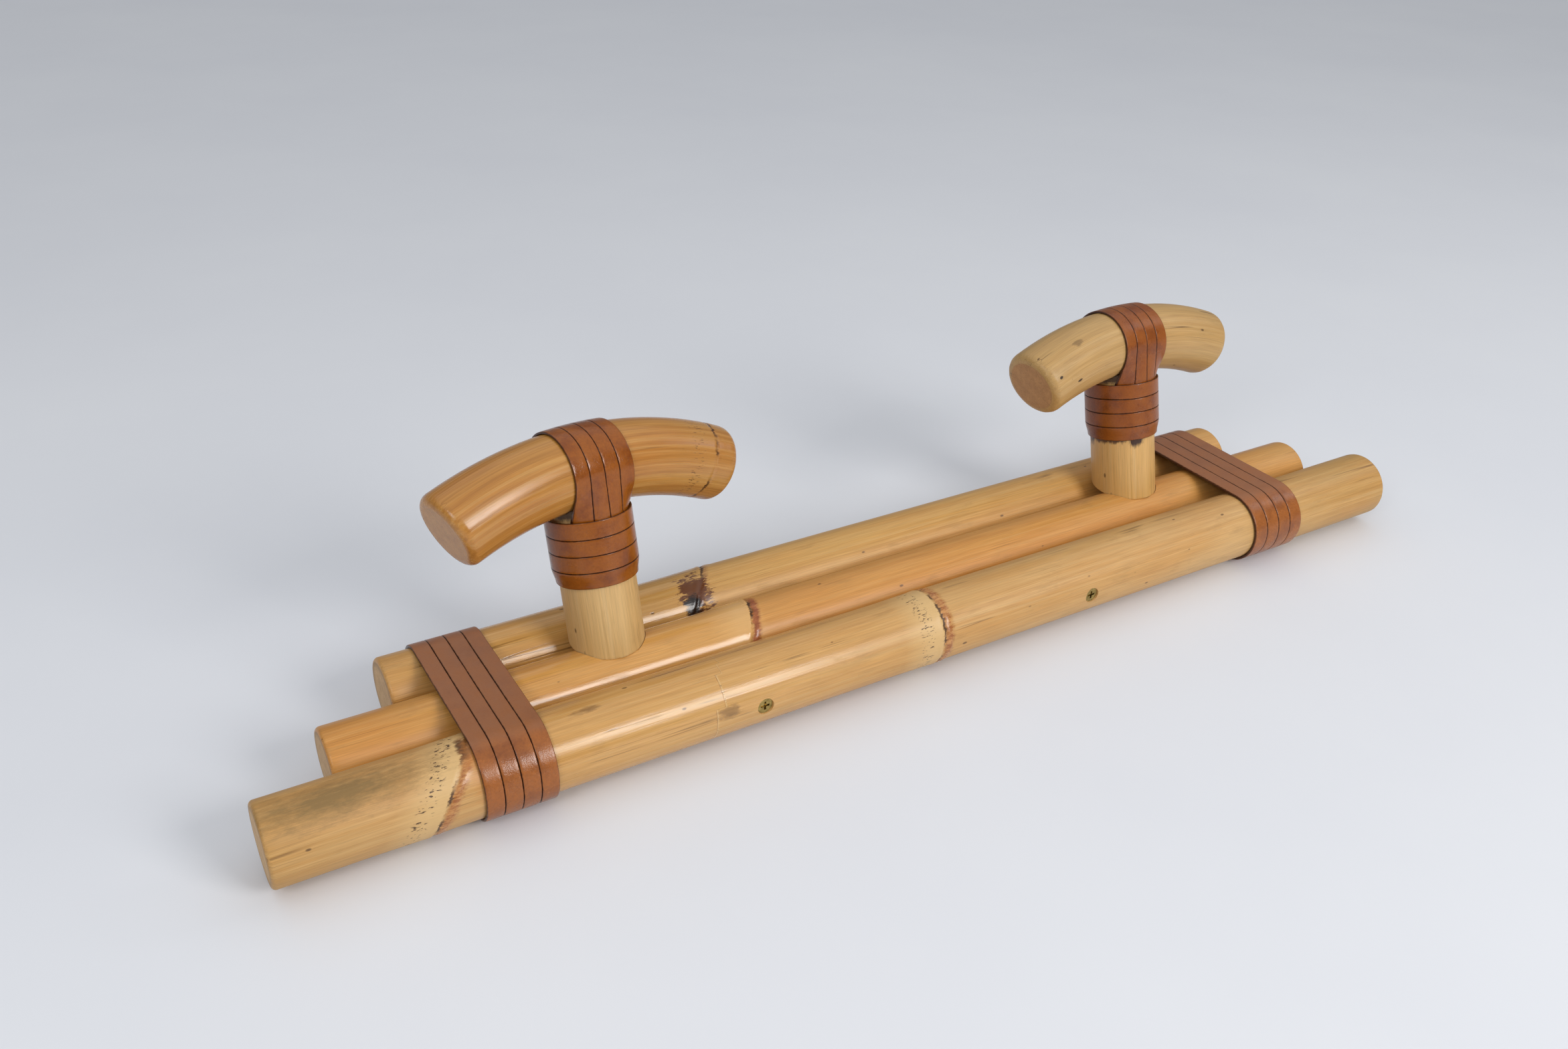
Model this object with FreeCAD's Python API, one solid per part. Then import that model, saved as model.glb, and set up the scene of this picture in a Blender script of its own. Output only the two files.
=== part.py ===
import FreeCAD, Part
import math
import os

# Wall coat rack: three cane poles side by side, two leather bindings, two T-shaped pegs.
# It lies on its back. +X runs along the poles, +Y from the front pole to the rear pole,
# +Z away from the wall. The origin is at the middle of the resting plane. Millimetres.

Vector = FreeCAD.Vector

# --- poles -----------------------------------------------------------------------------
front_pole_length = 664.0
middle_pole_length = 602.0
rear_pole_length = 533.0
front_pole_radius = 19.0
middle_pole_radius = 18.0
rear_pole_radius = 18.5
middle_pole_shift = 4.5        # along X, from the middle of the front pole
rear_pole_shift = 6.5
pole_gap = 0.2                 # between neighbouring poles
pole_edge_round = 2.0          # rounding of the cut ends

# --- end bindings ----------------------------------------------------------------------
binding_thickness = 1.6
binding_fit = 0.05             # between leather and cane
strips_per_band = 4
strip_gap = 0.2                # between neighbouring strips
left_binding_x = -227.0
right_binding_x = 237.0
left_binding_strip_width = 8.1
right_binding_strip_width = 9.2
butt_gap = 0.4                 # where the two ends of a strip meet

# --- pegs ------------------------------------------------------------------------------
left_peg_x = -157.3
right_peg_x = 176.2
peg_offset = 10.3              # of the feet, from the middle pole's middle towards the rear
peg_tilt = 14.0                # degrees towards the rear pole, which is up on the wall
left_peg_lean = 0.5            # degrees towards -X
right_peg_lean = 0.6
left_peg_twist = 11.5          # degrees round the post, left end of the bar to the front
right_peg_twist = 4.0
left_bar_shift = -7.0          # the crown of the bar's arc, from the post's axis
right_bar_shift = -4.0
left_bar_angles = (-20.2, 26.3)    # the bar's ends, in degrees of arc from its crown
right_bar_angles = (-20.4, 22.9)
post_radius = 18.4
seat_depth = 1.5               # flat seat cut into the middle pole's top
seat_fit = 0.2
bar_radius = 19.0
bar_rise = 86.5                # crown of the bar's centre line above the post's foot
bar_arc_radius = 190.0
bar_end_round = 4.5
cope_depth = 3.0               # how far the post's top reaches up round the bar
cope_fit = 0.1

# --- leather of the pegs ---------------------------------------------------------------
peg_leather_thickness = 1.1
peg_leather_fit = 0.15
saddle_strip_width = 7.8
saddle_slices = 6              # straight stretches that follow the post's curve in one strip
collar_strip_width = 8.0
collar_clearance = 0.1         # between the collar and the lowest part of a bar over it
saddle_tuck_margin = 1.0       # the saddle ends this far above the lowest collar strip

# --- screws ----------------------------------------------------------------------------
screw_fit = 0.1
side_screw_radius = 2.5
side_screw_head_radius = 4.0
side_screw_length = 52.0
side_recess_radius = 4.3
side_recess_depth = 1.0
front_screw_positions = (-106.5, 95.5)
rear_screw_positions = (-122.0, 80.0)
base_screw_radius = 2.5
base_screw_head_radius = 4.5
base_screw_length = 64.0
base_screw_start = -33.0       # the screw's head, along the post from its foot
base_screw_offset = -6.0       # from the post's axis, towards the front pole
top_screw_radius = 2.25
top_screw_head_radius = 4.25
top_screw_length = 56.0
top_recess_depth = 0.6
head_height_share = 0.75       # height of a countersunk head, as a share of its radius
point_length_share = 3.0       # length of a screw's point, as a share of the screw's radius
slot_width = 1.1
slot_depth = 1.2
cross_share = 1.15             # length of the cross recess, as a share of the head's radius

# --- tacks at the back of the bindings -------------------------------------------------
tack_head_radius = 2.0
tack_head_thickness = 0.5
tack_shank_radius = 0.6
tack_length = 9.0
tack_offset = 5.0              # from the meeting line of a strip's ends
tack_sink = 0.15

# --- keyhole hangers -------------------------------------------------------------------
hanger_spacing = 360.0
hanger_length = 40.0
hanger_width = 18.0
hanger_thickness = 1.5
hanger_fit = 0.15
keyhole_radius = 4.75
keyhole_slot_width = 4.6
keyhole_slot_length = 5.5
keyhole_offset = -2.0          # from the middle of the plate, towards the middle pole
pocket_radius = 5.6
pocket_depth = 5.0
hanger_hole_offset = 14.5
hanger_screw_radius = 1.5
hanger_screw_head_radius = 2.9
hanger_screw_head_height = 1.0
hanger_screw_length = 12.0

# --- worked out ------------------------------------------------------------------------
pole_base = binding_thickness + binding_fit
front_to_middle = math.sqrt(
    (front_pole_radius + middle_pole_radius + pole_gap) ** 2
    - (front_pole_radius - middle_pole_radius) ** 2)
middle_to_rear = math.sqrt(
    (middle_pole_radius + rear_pole_radius + pole_gap) ** 2
    - (middle_pole_radius - rear_pole_radius) ** 2)
leather_reach = binding_thickness + binding_fit
depth = front_pole_radius + front_to_middle + middle_to_rear + rear_pole_radius + 2 * leather_reach
front_y = -depth / 2 + leather_reach + front_pole_radius
middle_y = front_y + front_to_middle
rear_y = middle_y + middle_to_rear
front_z = pole_base + front_pole_radius
middle_z = pole_base + middle_pole_radius
rear_z = pole_base + rear_pole_radius
seat_z = middle_z + middle_pole_radius - seat_depth
collar_reach = post_radius + 2 * (peg_leather_fit + peg_leather_thickness)
lowest_over_collar = bar_rise - bar_arc_radius + math.sqrt(
    (bar_arc_radius - bar_radius) ** 2
    - (collar_reach + max(abs(left_bar_shift), abs(right_bar_shift))) ** 2)
collar_top = lowest_over_collar - collar_clearance
collar_pitch = collar_strip_width + strip_gap
left_peg = {"x": left_peg_x, "lean": left_peg_lean, "twist": left_peg_twist,
            "bar_shift": left_bar_shift, "bar_angles": left_bar_angles}
right_peg = {"x": right_peg_x, "lean": right_peg_lean, "twist": right_peg_twist,
             "bar_shift": right_bar_shift, "bar_angles": right_bar_angles}
hanger_face = pole_base + rear_pole_radius - math.sqrt(
    rear_pole_radius ** 2 - (hanger_width / 2 + hanger_fit) ** 2)
through = 400.0                # longer than any cut has to be


def cylinder(radius, length, base, direction):
    return Part.makeCylinder(radius, length, Vector(*base), Vector(*direction))


def box(low, high):
    size = [high[i] - low[i] for i in range(3)]
    return Part.makeBox(size[0], size[1], size[2], Vector(*low))


def save(shape, node):
    shape.exportStep(os.path.join("parts", node + ".step"))


def group(shapes):
    return Part.makeCompound(shapes)


# --- screws ----------------------------------------------------------------------------

def countersunk_screw(radius, head_radius, length):
    """A cross-head wood screw along -Z with the top of its head at the origin."""
    head_height = head_radius * head_height_share
    point_length = radius * point_length_share
    head = Part.makeCone(head_radius, radius, head_height, Vector(0, 0, 0), Vector(0, 0, -1))
    shank_length = length - head_height - point_length
    shank = cylinder(radius, shank_length, (0, 0, -head_height), (0, 0, -1))
    point_base = Vector(0, 0, -head_height - shank_length)
    point = Part.makeCone(radius, 0, point_length, point_base, Vector(0, 0, -1))
    screw = head.fuse([shank, point]).removeSplitter()
    arm = head_radius * cross_share / 2
    half = slot_width / 2
    return screw.cut([box((-arm, -half, -slot_depth), (arm, half, 1)),
                      box((-half, -arm, -slot_depth), (half, arm, 1))])


def screw_hole(radius, head_radius, length):
    """The room that such a screw takes, with its fit, open above the head."""
    head_height = head_radius * head_height_share
    cone = Part.makeCone(head_radius + screw_fit, radius + screw_fit, head_height,
                         Vector(0, 0, 0), Vector(0, 0, -1))
    shank = cylinder(radius + screw_fit, length + screw_fit, (0, 0, 0), (0, 0, -1))
    return cone.fuse(shank)


def turned(shape, base, axis, angle):
    """A copy of a shape at the origin, turned about an axis and then moved to base."""
    copy = shape.copy()
    copy.rotate(Vector(0, 0, 0), Vector(*axis), angle)
    copy.translate(Vector(*base))
    return copy


def side_screw_place(front, x):
    """Head position and turn of a screw that joins an outer pole to the middle pole."""
    if front:
        return (x, front_y - front_pole_radius + side_recess_depth, front_z), (1, 0, 0), 90
    return (x, rear_y + rear_pole_radius - side_recess_depth, rear_z), (1, 0, 0), -90


def side_screws(front):
    screw = countersunk_screw(side_screw_radius, side_screw_head_radius, side_screw_length)
    positions = front_screw_positions if front else rear_screw_positions
    return [turned(screw, *side_screw_place(front, x)) for x in positions]


def side_screw_holes(front):
    hole = screw_hole(side_screw_radius, side_screw_head_radius, side_screw_length)
    recess = cylinder(side_recess_radius, through, (0, 0, 0), (0, 0, 1))
    positions = front_screw_positions if front else rear_screw_positions
    return [turned(hole.fuse(recess), *side_screw_place(front, x)) for x in positions]


def base_screw_placed(shape, peg):
    upright = turned(shape, (0, 0, 0), (1, 0, 0), 180)
    start = (0, base_screw_offset, base_screw_start)
    return peg_placed(turned(upright, start, (0, 0, 1), 0), peg)


def base_screws():
    screw = countersunk_screw(base_screw_radius, base_screw_head_radius, base_screw_length)
    return [base_screw_placed(screw, peg) for peg in (left_peg, right_peg)]


def base_screw_hole(peg):
    hole = screw_hole(base_screw_radius, base_screw_head_radius, base_screw_length)
    recess = cylinder(base_screw_head_radius + screw_fit, through, (0, 0, 0), (0, 0, 1))
    return base_screw_placed(hole.fuse(recess), peg)


# --- pegs, drawn upright over the origin, then twisted, leaned and tilted ---------------

def peg_placed(shape, peg):
    twisted = turned(shape, (0, 0, 0), (0, 0, 1), peg["twist"])
    leaned = turned(twisted, (0, 0, 0), (0, 1, 0), -peg["lean"])
    return turned(leaned, (peg["x"], middle_y + peg_offset, seat_z), (1, 0, 0), -peg_tilt)


def bar_height(peg, x):
    """Height of the bar's centre line above the seat, at x from the post's axis."""
    along = x - peg["bar_shift"]
    return bar_rise - bar_arc_radius + math.sqrt(bar_arc_radius ** 2 - along ** 2)


def bar_body(peg, radius):
    """The arched bar's round section swept along its arc."""
    centre = Vector(peg["bar_shift"], 0, bar_rise)
    pivot = Vector(peg["bar_shift"], 0, bar_rise - bar_arc_radius)
    rim = Part.makeCircle(radius, centre, Vector(1, 0, 0))
    disc = Part.Face(Part.Wire(rim))
    first, last = peg["bar_angles"]
    disc.rotate(pivot, Vector(0, 1, 0), first)
    return disc.revolve(pivot, Vector(0, 1, 0), last - first)


def end_edges(shape, low, high):
    """Circular edges whose middle lies beyond low or high along X."""
    found = []
    for edge in shape.Edges:
        middle = edge.BoundBox.Center.x
        if len(edge.Vertexes) == 1 and (middle < low or middle > high):
            found.append(edge)
    return found


def top_screw_placed(shape, peg):
    start = (0, 0, bar_height(peg, 0) + bar_radius - top_recess_depth)
    return turned(shape, start, (0, 0, 1), 0)


def make_bar(peg):
    bar = bar_body(peg, bar_radius)
    low, high = [peg["bar_shift"] + bar_arc_radius * math.sin(math.radians(angle)) / 2
                 for angle in peg["bar_angles"]]
    ends = end_edges(bar, low, high)
    bar = bar.makeFillet(bar_end_round, ends)
    hole = screw_hole(top_screw_radius, top_screw_head_radius, top_screw_length)
    recess = cylinder(top_screw_head_radius + screw_fit, through, (0, 0, 0), (0, 0, 1))
    return bar.cut(top_screw_placed(hole.fuse(recess), peg))


def post_top(peg):
    return bar_height(peg, 0) - bar_radius + cope_depth


def make_post(peg):
    below = 2 * post_radius
    post = cylinder(post_radius, post_top(peg) + below, (0, 0, -below), (0, 0, 1))
    post = post.cut(bar_body(peg, bar_radius + cope_fit))
    hole = screw_hole(top_screw_radius, top_screw_head_radius, top_screw_length)
    post = post.cut(top_screw_placed(hole, peg))
    post = peg_placed(post, peg)
    return post.cut([under_seat(), base_screw_hole(peg)])


def make_top_screw(peg):
    screw = countersunk_screw(top_screw_radius, top_screw_head_radius, top_screw_length)
    return peg_placed(top_screw_placed(screw, peg), peg)


def under_seat():
    return box((-through, -through, seat_z - through), (through, through, seat_z))


def seat_cut(peg):
    """The room that a post's foot takes in the middle and rear poles."""
    foot = cylinder(post_radius + seat_fit, through / 2, (0, 0, -through / 4), (0, 0, 1))
    return peg_placed(foot, peg).cut(under_seat())


# --- saddle strips over the bar --------------------------------------------------------

def tangent_point(half_width, low, centre, radius):
    """Where a line from (-half_width, low) touches the near side of a circle at (0, centre)."""
    reach = math.hypot(half_width, centre - low)
    angle = math.atan2(low - centre, -half_width) - math.acos(radius / reach)
    return radius * math.cos(angle), centre + radius * math.sin(angle)


def saddle_side(peg, x, offset):
    """Points of one surface of the saddle at x: foot, bend, tangent point, crown."""
    half_width = math.sqrt((post_radius + offset) ** 2 - x * x)
    slope = math.asin((x - peg["bar_shift"]) / bar_arc_radius)
    radius = (bar_radius + offset) / math.cos(slope)
    centre = bar_height(peg, x)
    crown = centre + radius
    foot = collar_top - (strips_per_band - 1) * collar_pitch + saddle_tuck_margin
    bend = collar_top
    touch = tangent_point(half_width, bend, centre, radius)
    if -touch[0] < half_width:
        bend = post_top(peg)
        touch = tangent_point(half_width, bend, centre, radius)
    return [(-half_width, foot), (-half_width, bend), touch, (0, crown)]


def saddle_section(peg, x):
    """A closed wire at x, round the leather's inner and outer surface."""
    def point(y, z):
        return Vector(x, y, z)

    edges = []
    foot, bend, touch, crown = saddle_side(peg, x, peg_leather_fit)
    inner = [foot, bend, touch, crown, (-touch[0], touch[1]), (-bend[0], bend[1]), (-foot[0], foot[1])]
    foot, bend, touch, crown = saddle_side(peg, x, peg_leather_fit + peg_leather_thickness)
    outer = [(-foot[0], foot[1]), (-bend[0], bend[1]), (-touch[0], touch[1]), crown, touch, bend, foot]
    for path in (inner, outer):
        p = [point(*each) for each in path]
        edges.append(Part.LineSegment(p[0], p[1]).toShape())
        edges.append(Part.LineSegment(p[1], p[2]).toShape())
        edges.append(Part.Arc(p[2], p[3], p[4]).toShape())
        edges.append(Part.LineSegment(p[4], p[5]).toShape())
        edges.append(Part.LineSegment(p[5], p[6]).toShape())
        end = outer[0] if path is inner else inner[0]
        edges.append(Part.LineSegment(p[6], point(*end)).toShape())
    return Part.Wire(edges)


def saddle_strip(peg, index):
    pitch = saddle_strip_width + strip_gap
    start = (index - strips_per_band / 2) * pitch + strip_gap / 2
    step = saddle_strip_width / saddle_slices
    sections = [saddle_section(peg, start + step * i) for i in range(saddle_slices + 1)]
    return Part.makeLoft(sections, True, True)


# --- collar strips round the post ------------------------------------------------------

def collar_strip(index):
    """One ring of the collar; the lowest one tapers in to hug the post."""
    top = collar_top - index * collar_pitch
    bottom = top - collar_strip_width
    inner_top = post_radius + 2 * peg_leather_fit + peg_leather_thickness
    inner_bottom = inner_top
    if index == strips_per_band - 1:
        inner_bottom = post_radius + peg_leather_fit
    points = [Vector(inner_bottom, 0, bottom),
              Vector(inner_bottom + peg_leather_thickness, 0, bottom),
              Vector(inner_top + peg_leather_thickness, 0, top),
              Vector(inner_top, 0, top)]
    face = Part.Face(Part.makePolygon(points + points[:1]))
    ring = face.revolve(Vector(0, 0, 0), Vector(0, 0, 1), 360)
    seam = box((-butt_gap / 2, 0, bottom - 1), (butt_gap / 2, through, top + 1))
    return ring.cut(seam)


# --- poles -----------------------------------------------------------------------------

def pole(length, radius, shift, y, z):
    body = cylinder(radius, length, (shift - length / 2, y, z), (1, 0, 0))
    return body.makeFillet(pole_edge_round, end_edges(body, shift - length / 4, shift + length / 4))


def make_front_pole():
    body = pole(front_pole_length, front_pole_radius, 0, front_y, front_z)
    return body.cut(side_screw_holes(True))


def make_middle_pole():
    body = pole(middle_pole_length, middle_pole_radius, middle_pole_shift, middle_y, middle_z)
    cuts = side_screw_holes(True) + side_screw_holes(False)
    for peg in (left_peg, right_peg):
        cuts.append(seat_cut(peg))
        cuts.append(base_screw_hole(peg))
    cuts += tack_holes()
    return body.cut(cuts)


def make_rear_pole():
    body = pole(rear_pole_length, rear_pole_radius, rear_pole_shift, rear_y, rear_z)
    cuts = side_screw_holes(False) + [seat_cut(peg) for peg in (left_peg, right_peg)]
    for side in (-1, 1):
        cuts += hanger_cuts(side * hanger_spacing / 2)
    return body.cut(cuts)


# --- bindings --------------------------------------------------------------------------

def upper_tangent(first, second):
    """Angle of the normal of the straight run over two circles (y, z, radius)."""
    dy = second[0] - first[0]
    dz = second[1] - first[1]
    return math.atan2(dz, dy) + math.acos((first[2] - second[2]) / math.hypot(dy, dz))


def on_circle(circle, angle, offset):
    radius = circle[2] + offset
    return Vector(0, circle[0] + radius * math.cos(angle), circle[1] + radius * math.sin(angle))


def wrapped_circles():
    """The poles that a binding touches on top, front to rear."""
    front = (front_y, front_z, front_pole_radius)
    middle = (middle_y, middle_z, middle_pole_radius)
    rear = (rear_y, rear_z, rear_pole_radius)
    normal = upper_tangent(front, rear)
    edge = on_circle(front, normal, 0)
    crown = on_circle(middle, normal, 0)
    above = (crown.y - edge.y) * math.cos(normal) + (crown.z - edge.z) * math.sin(normal)
    return [front, middle, rear] if above > 0 else [front, rear]


def binding_face(offset):
    """The face inside a loop that runs round the poles at an offset from the cane."""
    circles = wrapped_circles()
    normals = [upper_tangent(circles[i], circles[i + 1]) for i in range(len(circles) - 1)]
    starts = [1.5 * math.pi] + normals
    ends = normals + [-0.5 * math.pi]
    edges = []
    last = None
    for circle, start, end in zip(circles, starts, ends):
        first = on_circle(circle, start, offset)
        if last is not None:
            edges.append(Part.LineSegment(last, first).toShape())
        last = on_circle(circle, end, offset)
        edges.append(Part.Arc(first, on_circle(circle, (start + end) / 2, offset), last).toShape())
    edges.append(Part.LineSegment(last, edges[0].Vertexes[0].Point).toShape())
    return Part.Face(Part.Wire(edges))


def strip_start(band_x, width, index):
    return band_x + (index - strips_per_band / 2) * (width + strip_gap) + strip_gap / 2


def binding_strip(band_x, width, index):
    loop = binding_face(binding_fit + binding_thickness).cut(binding_face(binding_fit))
    strip = loop.extrude(Vector(width, 0, 0))
    start = strip_start(band_x, width, index)
    strip.translate(Vector(start, 0, 0))
    seam_low = (start - 1, middle_y - butt_gap / 2, -1)
    seam_high = (start + width + 1, middle_y + butt_gap / 2, pole_base)
    seam = box(seam_low, seam_high)
    cuts = [seam]
    for place in tack_places(start + width / 2):
        head_room = tack_head_thickness + tack_sink + screw_fit
        cuts.append(cylinder(tack_head_radius + screw_fit, head_room + 1, (place[0], place[1], -1), (0, 0, 1)))
        cuts.append(cylinder(tack_shank_radius + screw_fit, through, place, (0, 0, 1)))
    under = box((-through, -through, 0), (through, through, pole_base + 1))
    return strip.cut([cut.common(under) if cut is not seam else cut for cut in cuts])


def tack_places(x):
    return [(x, middle_y - tack_offset, 0), (x, middle_y + tack_offset, 0)]


def tack(place):
    x, y = place[0], place[1]
    head = cylinder(tack_head_radius, tack_head_thickness, (x, y, tack_sink), (0, 0, 1))
    shank = cylinder(tack_shank_radius, tack_length, (x, y, tack_sink), (0, 0, 1))
    return head.fuse(shank).removeSplitter()


def band_tack_places(band_x, width):
    places = []
    for index in range(strips_per_band):
        places += tack_places(strip_start(band_x, width, index) + width / 2)
    return places


def tack_holes():
    places = band_tack_places(left_binding_x, left_binding_strip_width)
    places += band_tack_places(right_binding_x, right_binding_strip_width)
    deep = tack_sink + tack_length + screw_fit
    return [cylinder(tack_shank_radius + screw_fit, deep, place, (0, 0, 1)) for place in places]


# --- keyhole hangers -------------------------------------------------------------------

def keyhole_prism(x, radius, slot_half_width, low, high):
    """Round entry with a slot towards +Y, from low to high."""
    y = rear_y + keyhole_offset
    entry = cylinder(radius, high - low, (x, y, low), (0, 0, 1))
    slot = box((x - slot_half_width, y, low), (x + slot_half_width, y + keyhole_slot_length, high))
    slot_end = cylinder(slot_half_width, high - low, (x, y + keyhole_slot_length, low), (0, 0, 1))
    return entry.fuse([slot, slot_end])


def hanger_hole_places(x):
    return [(x - hanger_hole_offset, rear_y), (x + hanger_hole_offset, rear_y)]


def hanger_plate(x):
    low = (x - hanger_length / 2, rear_y - hanger_width / 2, hanger_face - hanger_thickness)
    high = (x + hanger_length / 2, rear_y + hanger_width / 2, hanger_face)
    cuts = [keyhole_prism(x, keyhole_radius, keyhole_slot_width / 2, low[2] - 1, high[2] + 1)]
    for place in hanger_hole_places(x):
        cuts.append(cylinder(hanger_screw_radius + screw_fit, through, (place[0], place[1], -1), (0, 0, 1)))
    return box(low, high).cut(cuts)


def hanger_screw(place):
    under = hanger_face - hanger_thickness
    head = cylinder(hanger_screw_head_radius, hanger_screw_head_height,
                    (place[0], place[1], under - hanger_screw_head_height), (0, 0, 1))
    shank = cylinder(hanger_screw_radius, hanger_screw_length, (place[0], place[1], under), (0, 0, 1))
    slot = box((place[0] - hanger_screw_head_radius, place[1] - slot_width / 4, 0),
               (place[0] + hanger_screw_head_radius, place[1] + slot_width / 4,
                under - hanger_screw_head_height / 2))
    return head.fuse(shank).removeSplitter().cut(slot)


def hanger_cuts(x):
    """Flat, pocket and screw holes for one hanger in the rear pole."""
    half_length = hanger_length / 2 + hanger_fit
    half_width = hanger_width / 2 + hanger_fit
    flat = box((x - half_length, rear_y - half_width, -1), (x + half_length, rear_y + half_width, hanger_face))
    pocket = keyhole_prism(x, pocket_radius, pocket_radius, 0, hanger_face + pocket_depth)
    cuts = [flat, pocket]
    deep = hanger_face - hanger_thickness + hanger_screw_length + screw_fit
    for place in hanger_hole_places(x):
        cuts.append(cylinder(hanger_screw_radius + screw_fit, deep, (place[0], place[1], 0), (0, 0, 1)))
    return cuts


# --- the whole rack --------------------------------------------------------------------

def main():
    os.makedirs("parts", exist_ok=True)
    save(make_front_pole(), "pole_front")
    save(make_middle_pole(), "pole_middle")
    save(make_rear_pole(), "pole_rear")

    bindings = (("left", left_binding_x, left_binding_strip_width),
                ("right", right_binding_x, right_binding_strip_width))
    for side, band_x, width in bindings:
        for index in range(strips_per_band):
            save(binding_strip(band_x, width, index), "binding_strip_%s_%d" % (side, index + 1))
        tacks = [tack(place) for place in band_tack_places(band_x, width)]
        save(group(tacks), "binding_tacks_%s" % side)

    for side, peg in (("left", left_peg), ("right", right_peg)):
        save(make_post(peg), "peg_post_%s" % side)
        save(peg_placed(make_bar(peg), peg), "peg_bar_%s" % side)
        for index in range(strips_per_band):
            saddle = peg_placed(saddle_strip(peg, index), peg)
            save(saddle, "saddle_strip_%s_%d" % (side, index + 1))
            collar = peg_placed(collar_strip(index), peg)
            save(collar, "collar_strip_%s_%d" % (side, index + 1))

    save(group(side_screws(True)), "front_pole_screws")
    save(group(side_screws(False)), "rear_pole_screws")
    save(group(base_screws()), "peg_base_screws")
    save(group([make_top_screw(peg) for peg in (left_peg, right_peg)]), "peg_top_screws")

    hanger_screws = []
    for side, sign in (("left", -1), ("right", 1)):
        x = sign * hanger_spacing / 2
        save(hanger_plate(x), "hanger_plate_%s" % side)
        hanger_screws += [hanger_screw(place) for place in hanger_hole_places(x)]
    save(group(hanger_screws), "hanger_screws")


main()
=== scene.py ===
import math
import bmesh
import bpy
from mathutils import Matrix, Vector, noise


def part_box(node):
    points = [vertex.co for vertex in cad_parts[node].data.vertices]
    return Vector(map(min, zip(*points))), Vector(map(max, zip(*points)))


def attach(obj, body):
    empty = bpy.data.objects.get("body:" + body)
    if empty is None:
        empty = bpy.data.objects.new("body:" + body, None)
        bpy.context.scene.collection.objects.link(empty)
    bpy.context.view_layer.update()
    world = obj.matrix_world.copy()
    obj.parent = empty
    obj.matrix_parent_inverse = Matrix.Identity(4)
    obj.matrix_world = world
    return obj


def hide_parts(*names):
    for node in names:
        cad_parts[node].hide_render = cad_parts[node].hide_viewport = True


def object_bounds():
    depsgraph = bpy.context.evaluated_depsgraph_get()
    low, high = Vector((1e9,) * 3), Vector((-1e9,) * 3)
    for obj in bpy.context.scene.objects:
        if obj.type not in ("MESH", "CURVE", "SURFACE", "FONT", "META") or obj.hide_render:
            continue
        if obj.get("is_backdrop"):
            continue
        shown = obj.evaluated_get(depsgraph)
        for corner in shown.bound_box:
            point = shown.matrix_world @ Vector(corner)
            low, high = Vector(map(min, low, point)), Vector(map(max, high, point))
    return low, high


# Wall coat rack of three cane poles, two leather bindings and two T-shaped pegs, lying on its back.
# Everything is in metres. X runs along the poles, Y from the front pole to the rear one, Z is up.

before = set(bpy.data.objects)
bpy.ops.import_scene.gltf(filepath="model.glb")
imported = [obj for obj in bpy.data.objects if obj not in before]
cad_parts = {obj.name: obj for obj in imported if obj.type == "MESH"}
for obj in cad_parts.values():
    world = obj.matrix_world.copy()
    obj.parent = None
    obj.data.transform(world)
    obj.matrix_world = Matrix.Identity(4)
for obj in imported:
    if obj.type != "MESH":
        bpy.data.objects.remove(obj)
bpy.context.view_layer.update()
scene = bpy.context.scene
scene.view_settings.view_transform = "Standard"
print("frame loaded")


def srgb(red, green, blue):
    channels = []
    for value in (red, green, blue):
        share = value / 255
        channels.append(share / 12.92 if share < 0.04045 else ((share + 0.055) / 1.055) ** 2.4)
    return (*channels, 1.0)


def ease(low, high, value):
    share = min(max((value - low) / (high - low), 0.0), 1.0)
    return share * share * (3 - 2 * share)


def bell(value, middle, width):
    return math.exp(-((value - middle) / width) ** 2)


def drift(x, y, z):
    return noise.noise(Vector((x, y, z)))


def turned(angle, axis):
    return Matrix.Rotation(math.radians(angle), 4, axis)


# node graph helpers

def addNode(tree, kind, inputs=None, **settings):
    made = tree.nodes.new("ShaderNode" + kind)
    for key, value in settings.items():
        setattr(made, key, value)
    for key, value in (inputs or {}).items():
        if isinstance(value, bpy.types.NodeSocket):
            tree.links.new(value, made.inputs[key])
        else:
            made.inputs[key].default_value = value
    return made


def attribute(tree, name, output):
    return addNode(tree, "Attribute", attribute_name=name).outputs[output]


def stretched(tree, vector, scale):
    return addNode(tree, "Mapping", {"Vector": vector, "Scale": scale}).outputs[0]


def noiseOn(tree, vector, scale, detail=3.0, roughness=0.55, distortion=0.0):
    inputs = {"Vector": stretched(tree, vector, scale), "Scale": 1.0, "Detail": detail,
              "Roughness": roughness, "Distortion": distortion}
    return addNode(tree, "TexNoise", inputs).outputs[0]


def remap(tree, value, low, high, outLow=0.0, outHigh=1.0):
    inputs = {"Value": value, "From Min": low, "From Max": high, "To Min": outLow, "To Max": outHigh}
    return addNode(tree, "MapRange", inputs).outputs[0]


def maths(tree, operation, first, second=0.0):
    return addNode(tree, "Math", {0: first, 1: second}, operation=operation).outputs[0]


def plus(tree, first, second):
    return maths(tree, "ADD", first, second)


def times(tree, first, second):
    return maths(tree, "MULTIPLY", first, second)


def band(tree, value, start, full, fade, end):
    rise = remap(tree, value, start, full)
    fall = remap(tree, value, fade, end, 1.0, 0.0)
    return times(tree, rise, fall)


def blend(tree, share, under, over, way="MIX"):
    made = addNode(tree, "Mix", {0: share, 6: under, 7: over}, data_type="RGBA", blend_type=way)
    return made.outputs[2]


def blendValue(tree, share, under, over):
    return addNode(tree, "Mix", {0: share, 2: under, 3: over}).outputs[0]


def rampOf(tree, value, stops):
    made = addNode(tree, "ValToRGB", {"Fac": value})
    ramp = made.color_ramp
    while len(ramp.elements) < len(stops):
        ramp.elements.new(0.5)
    for element, (place, colour) in zip(ramp.elements, stops):
        element.position = place
        element.color = colour
    return made.outputs[0]


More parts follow.
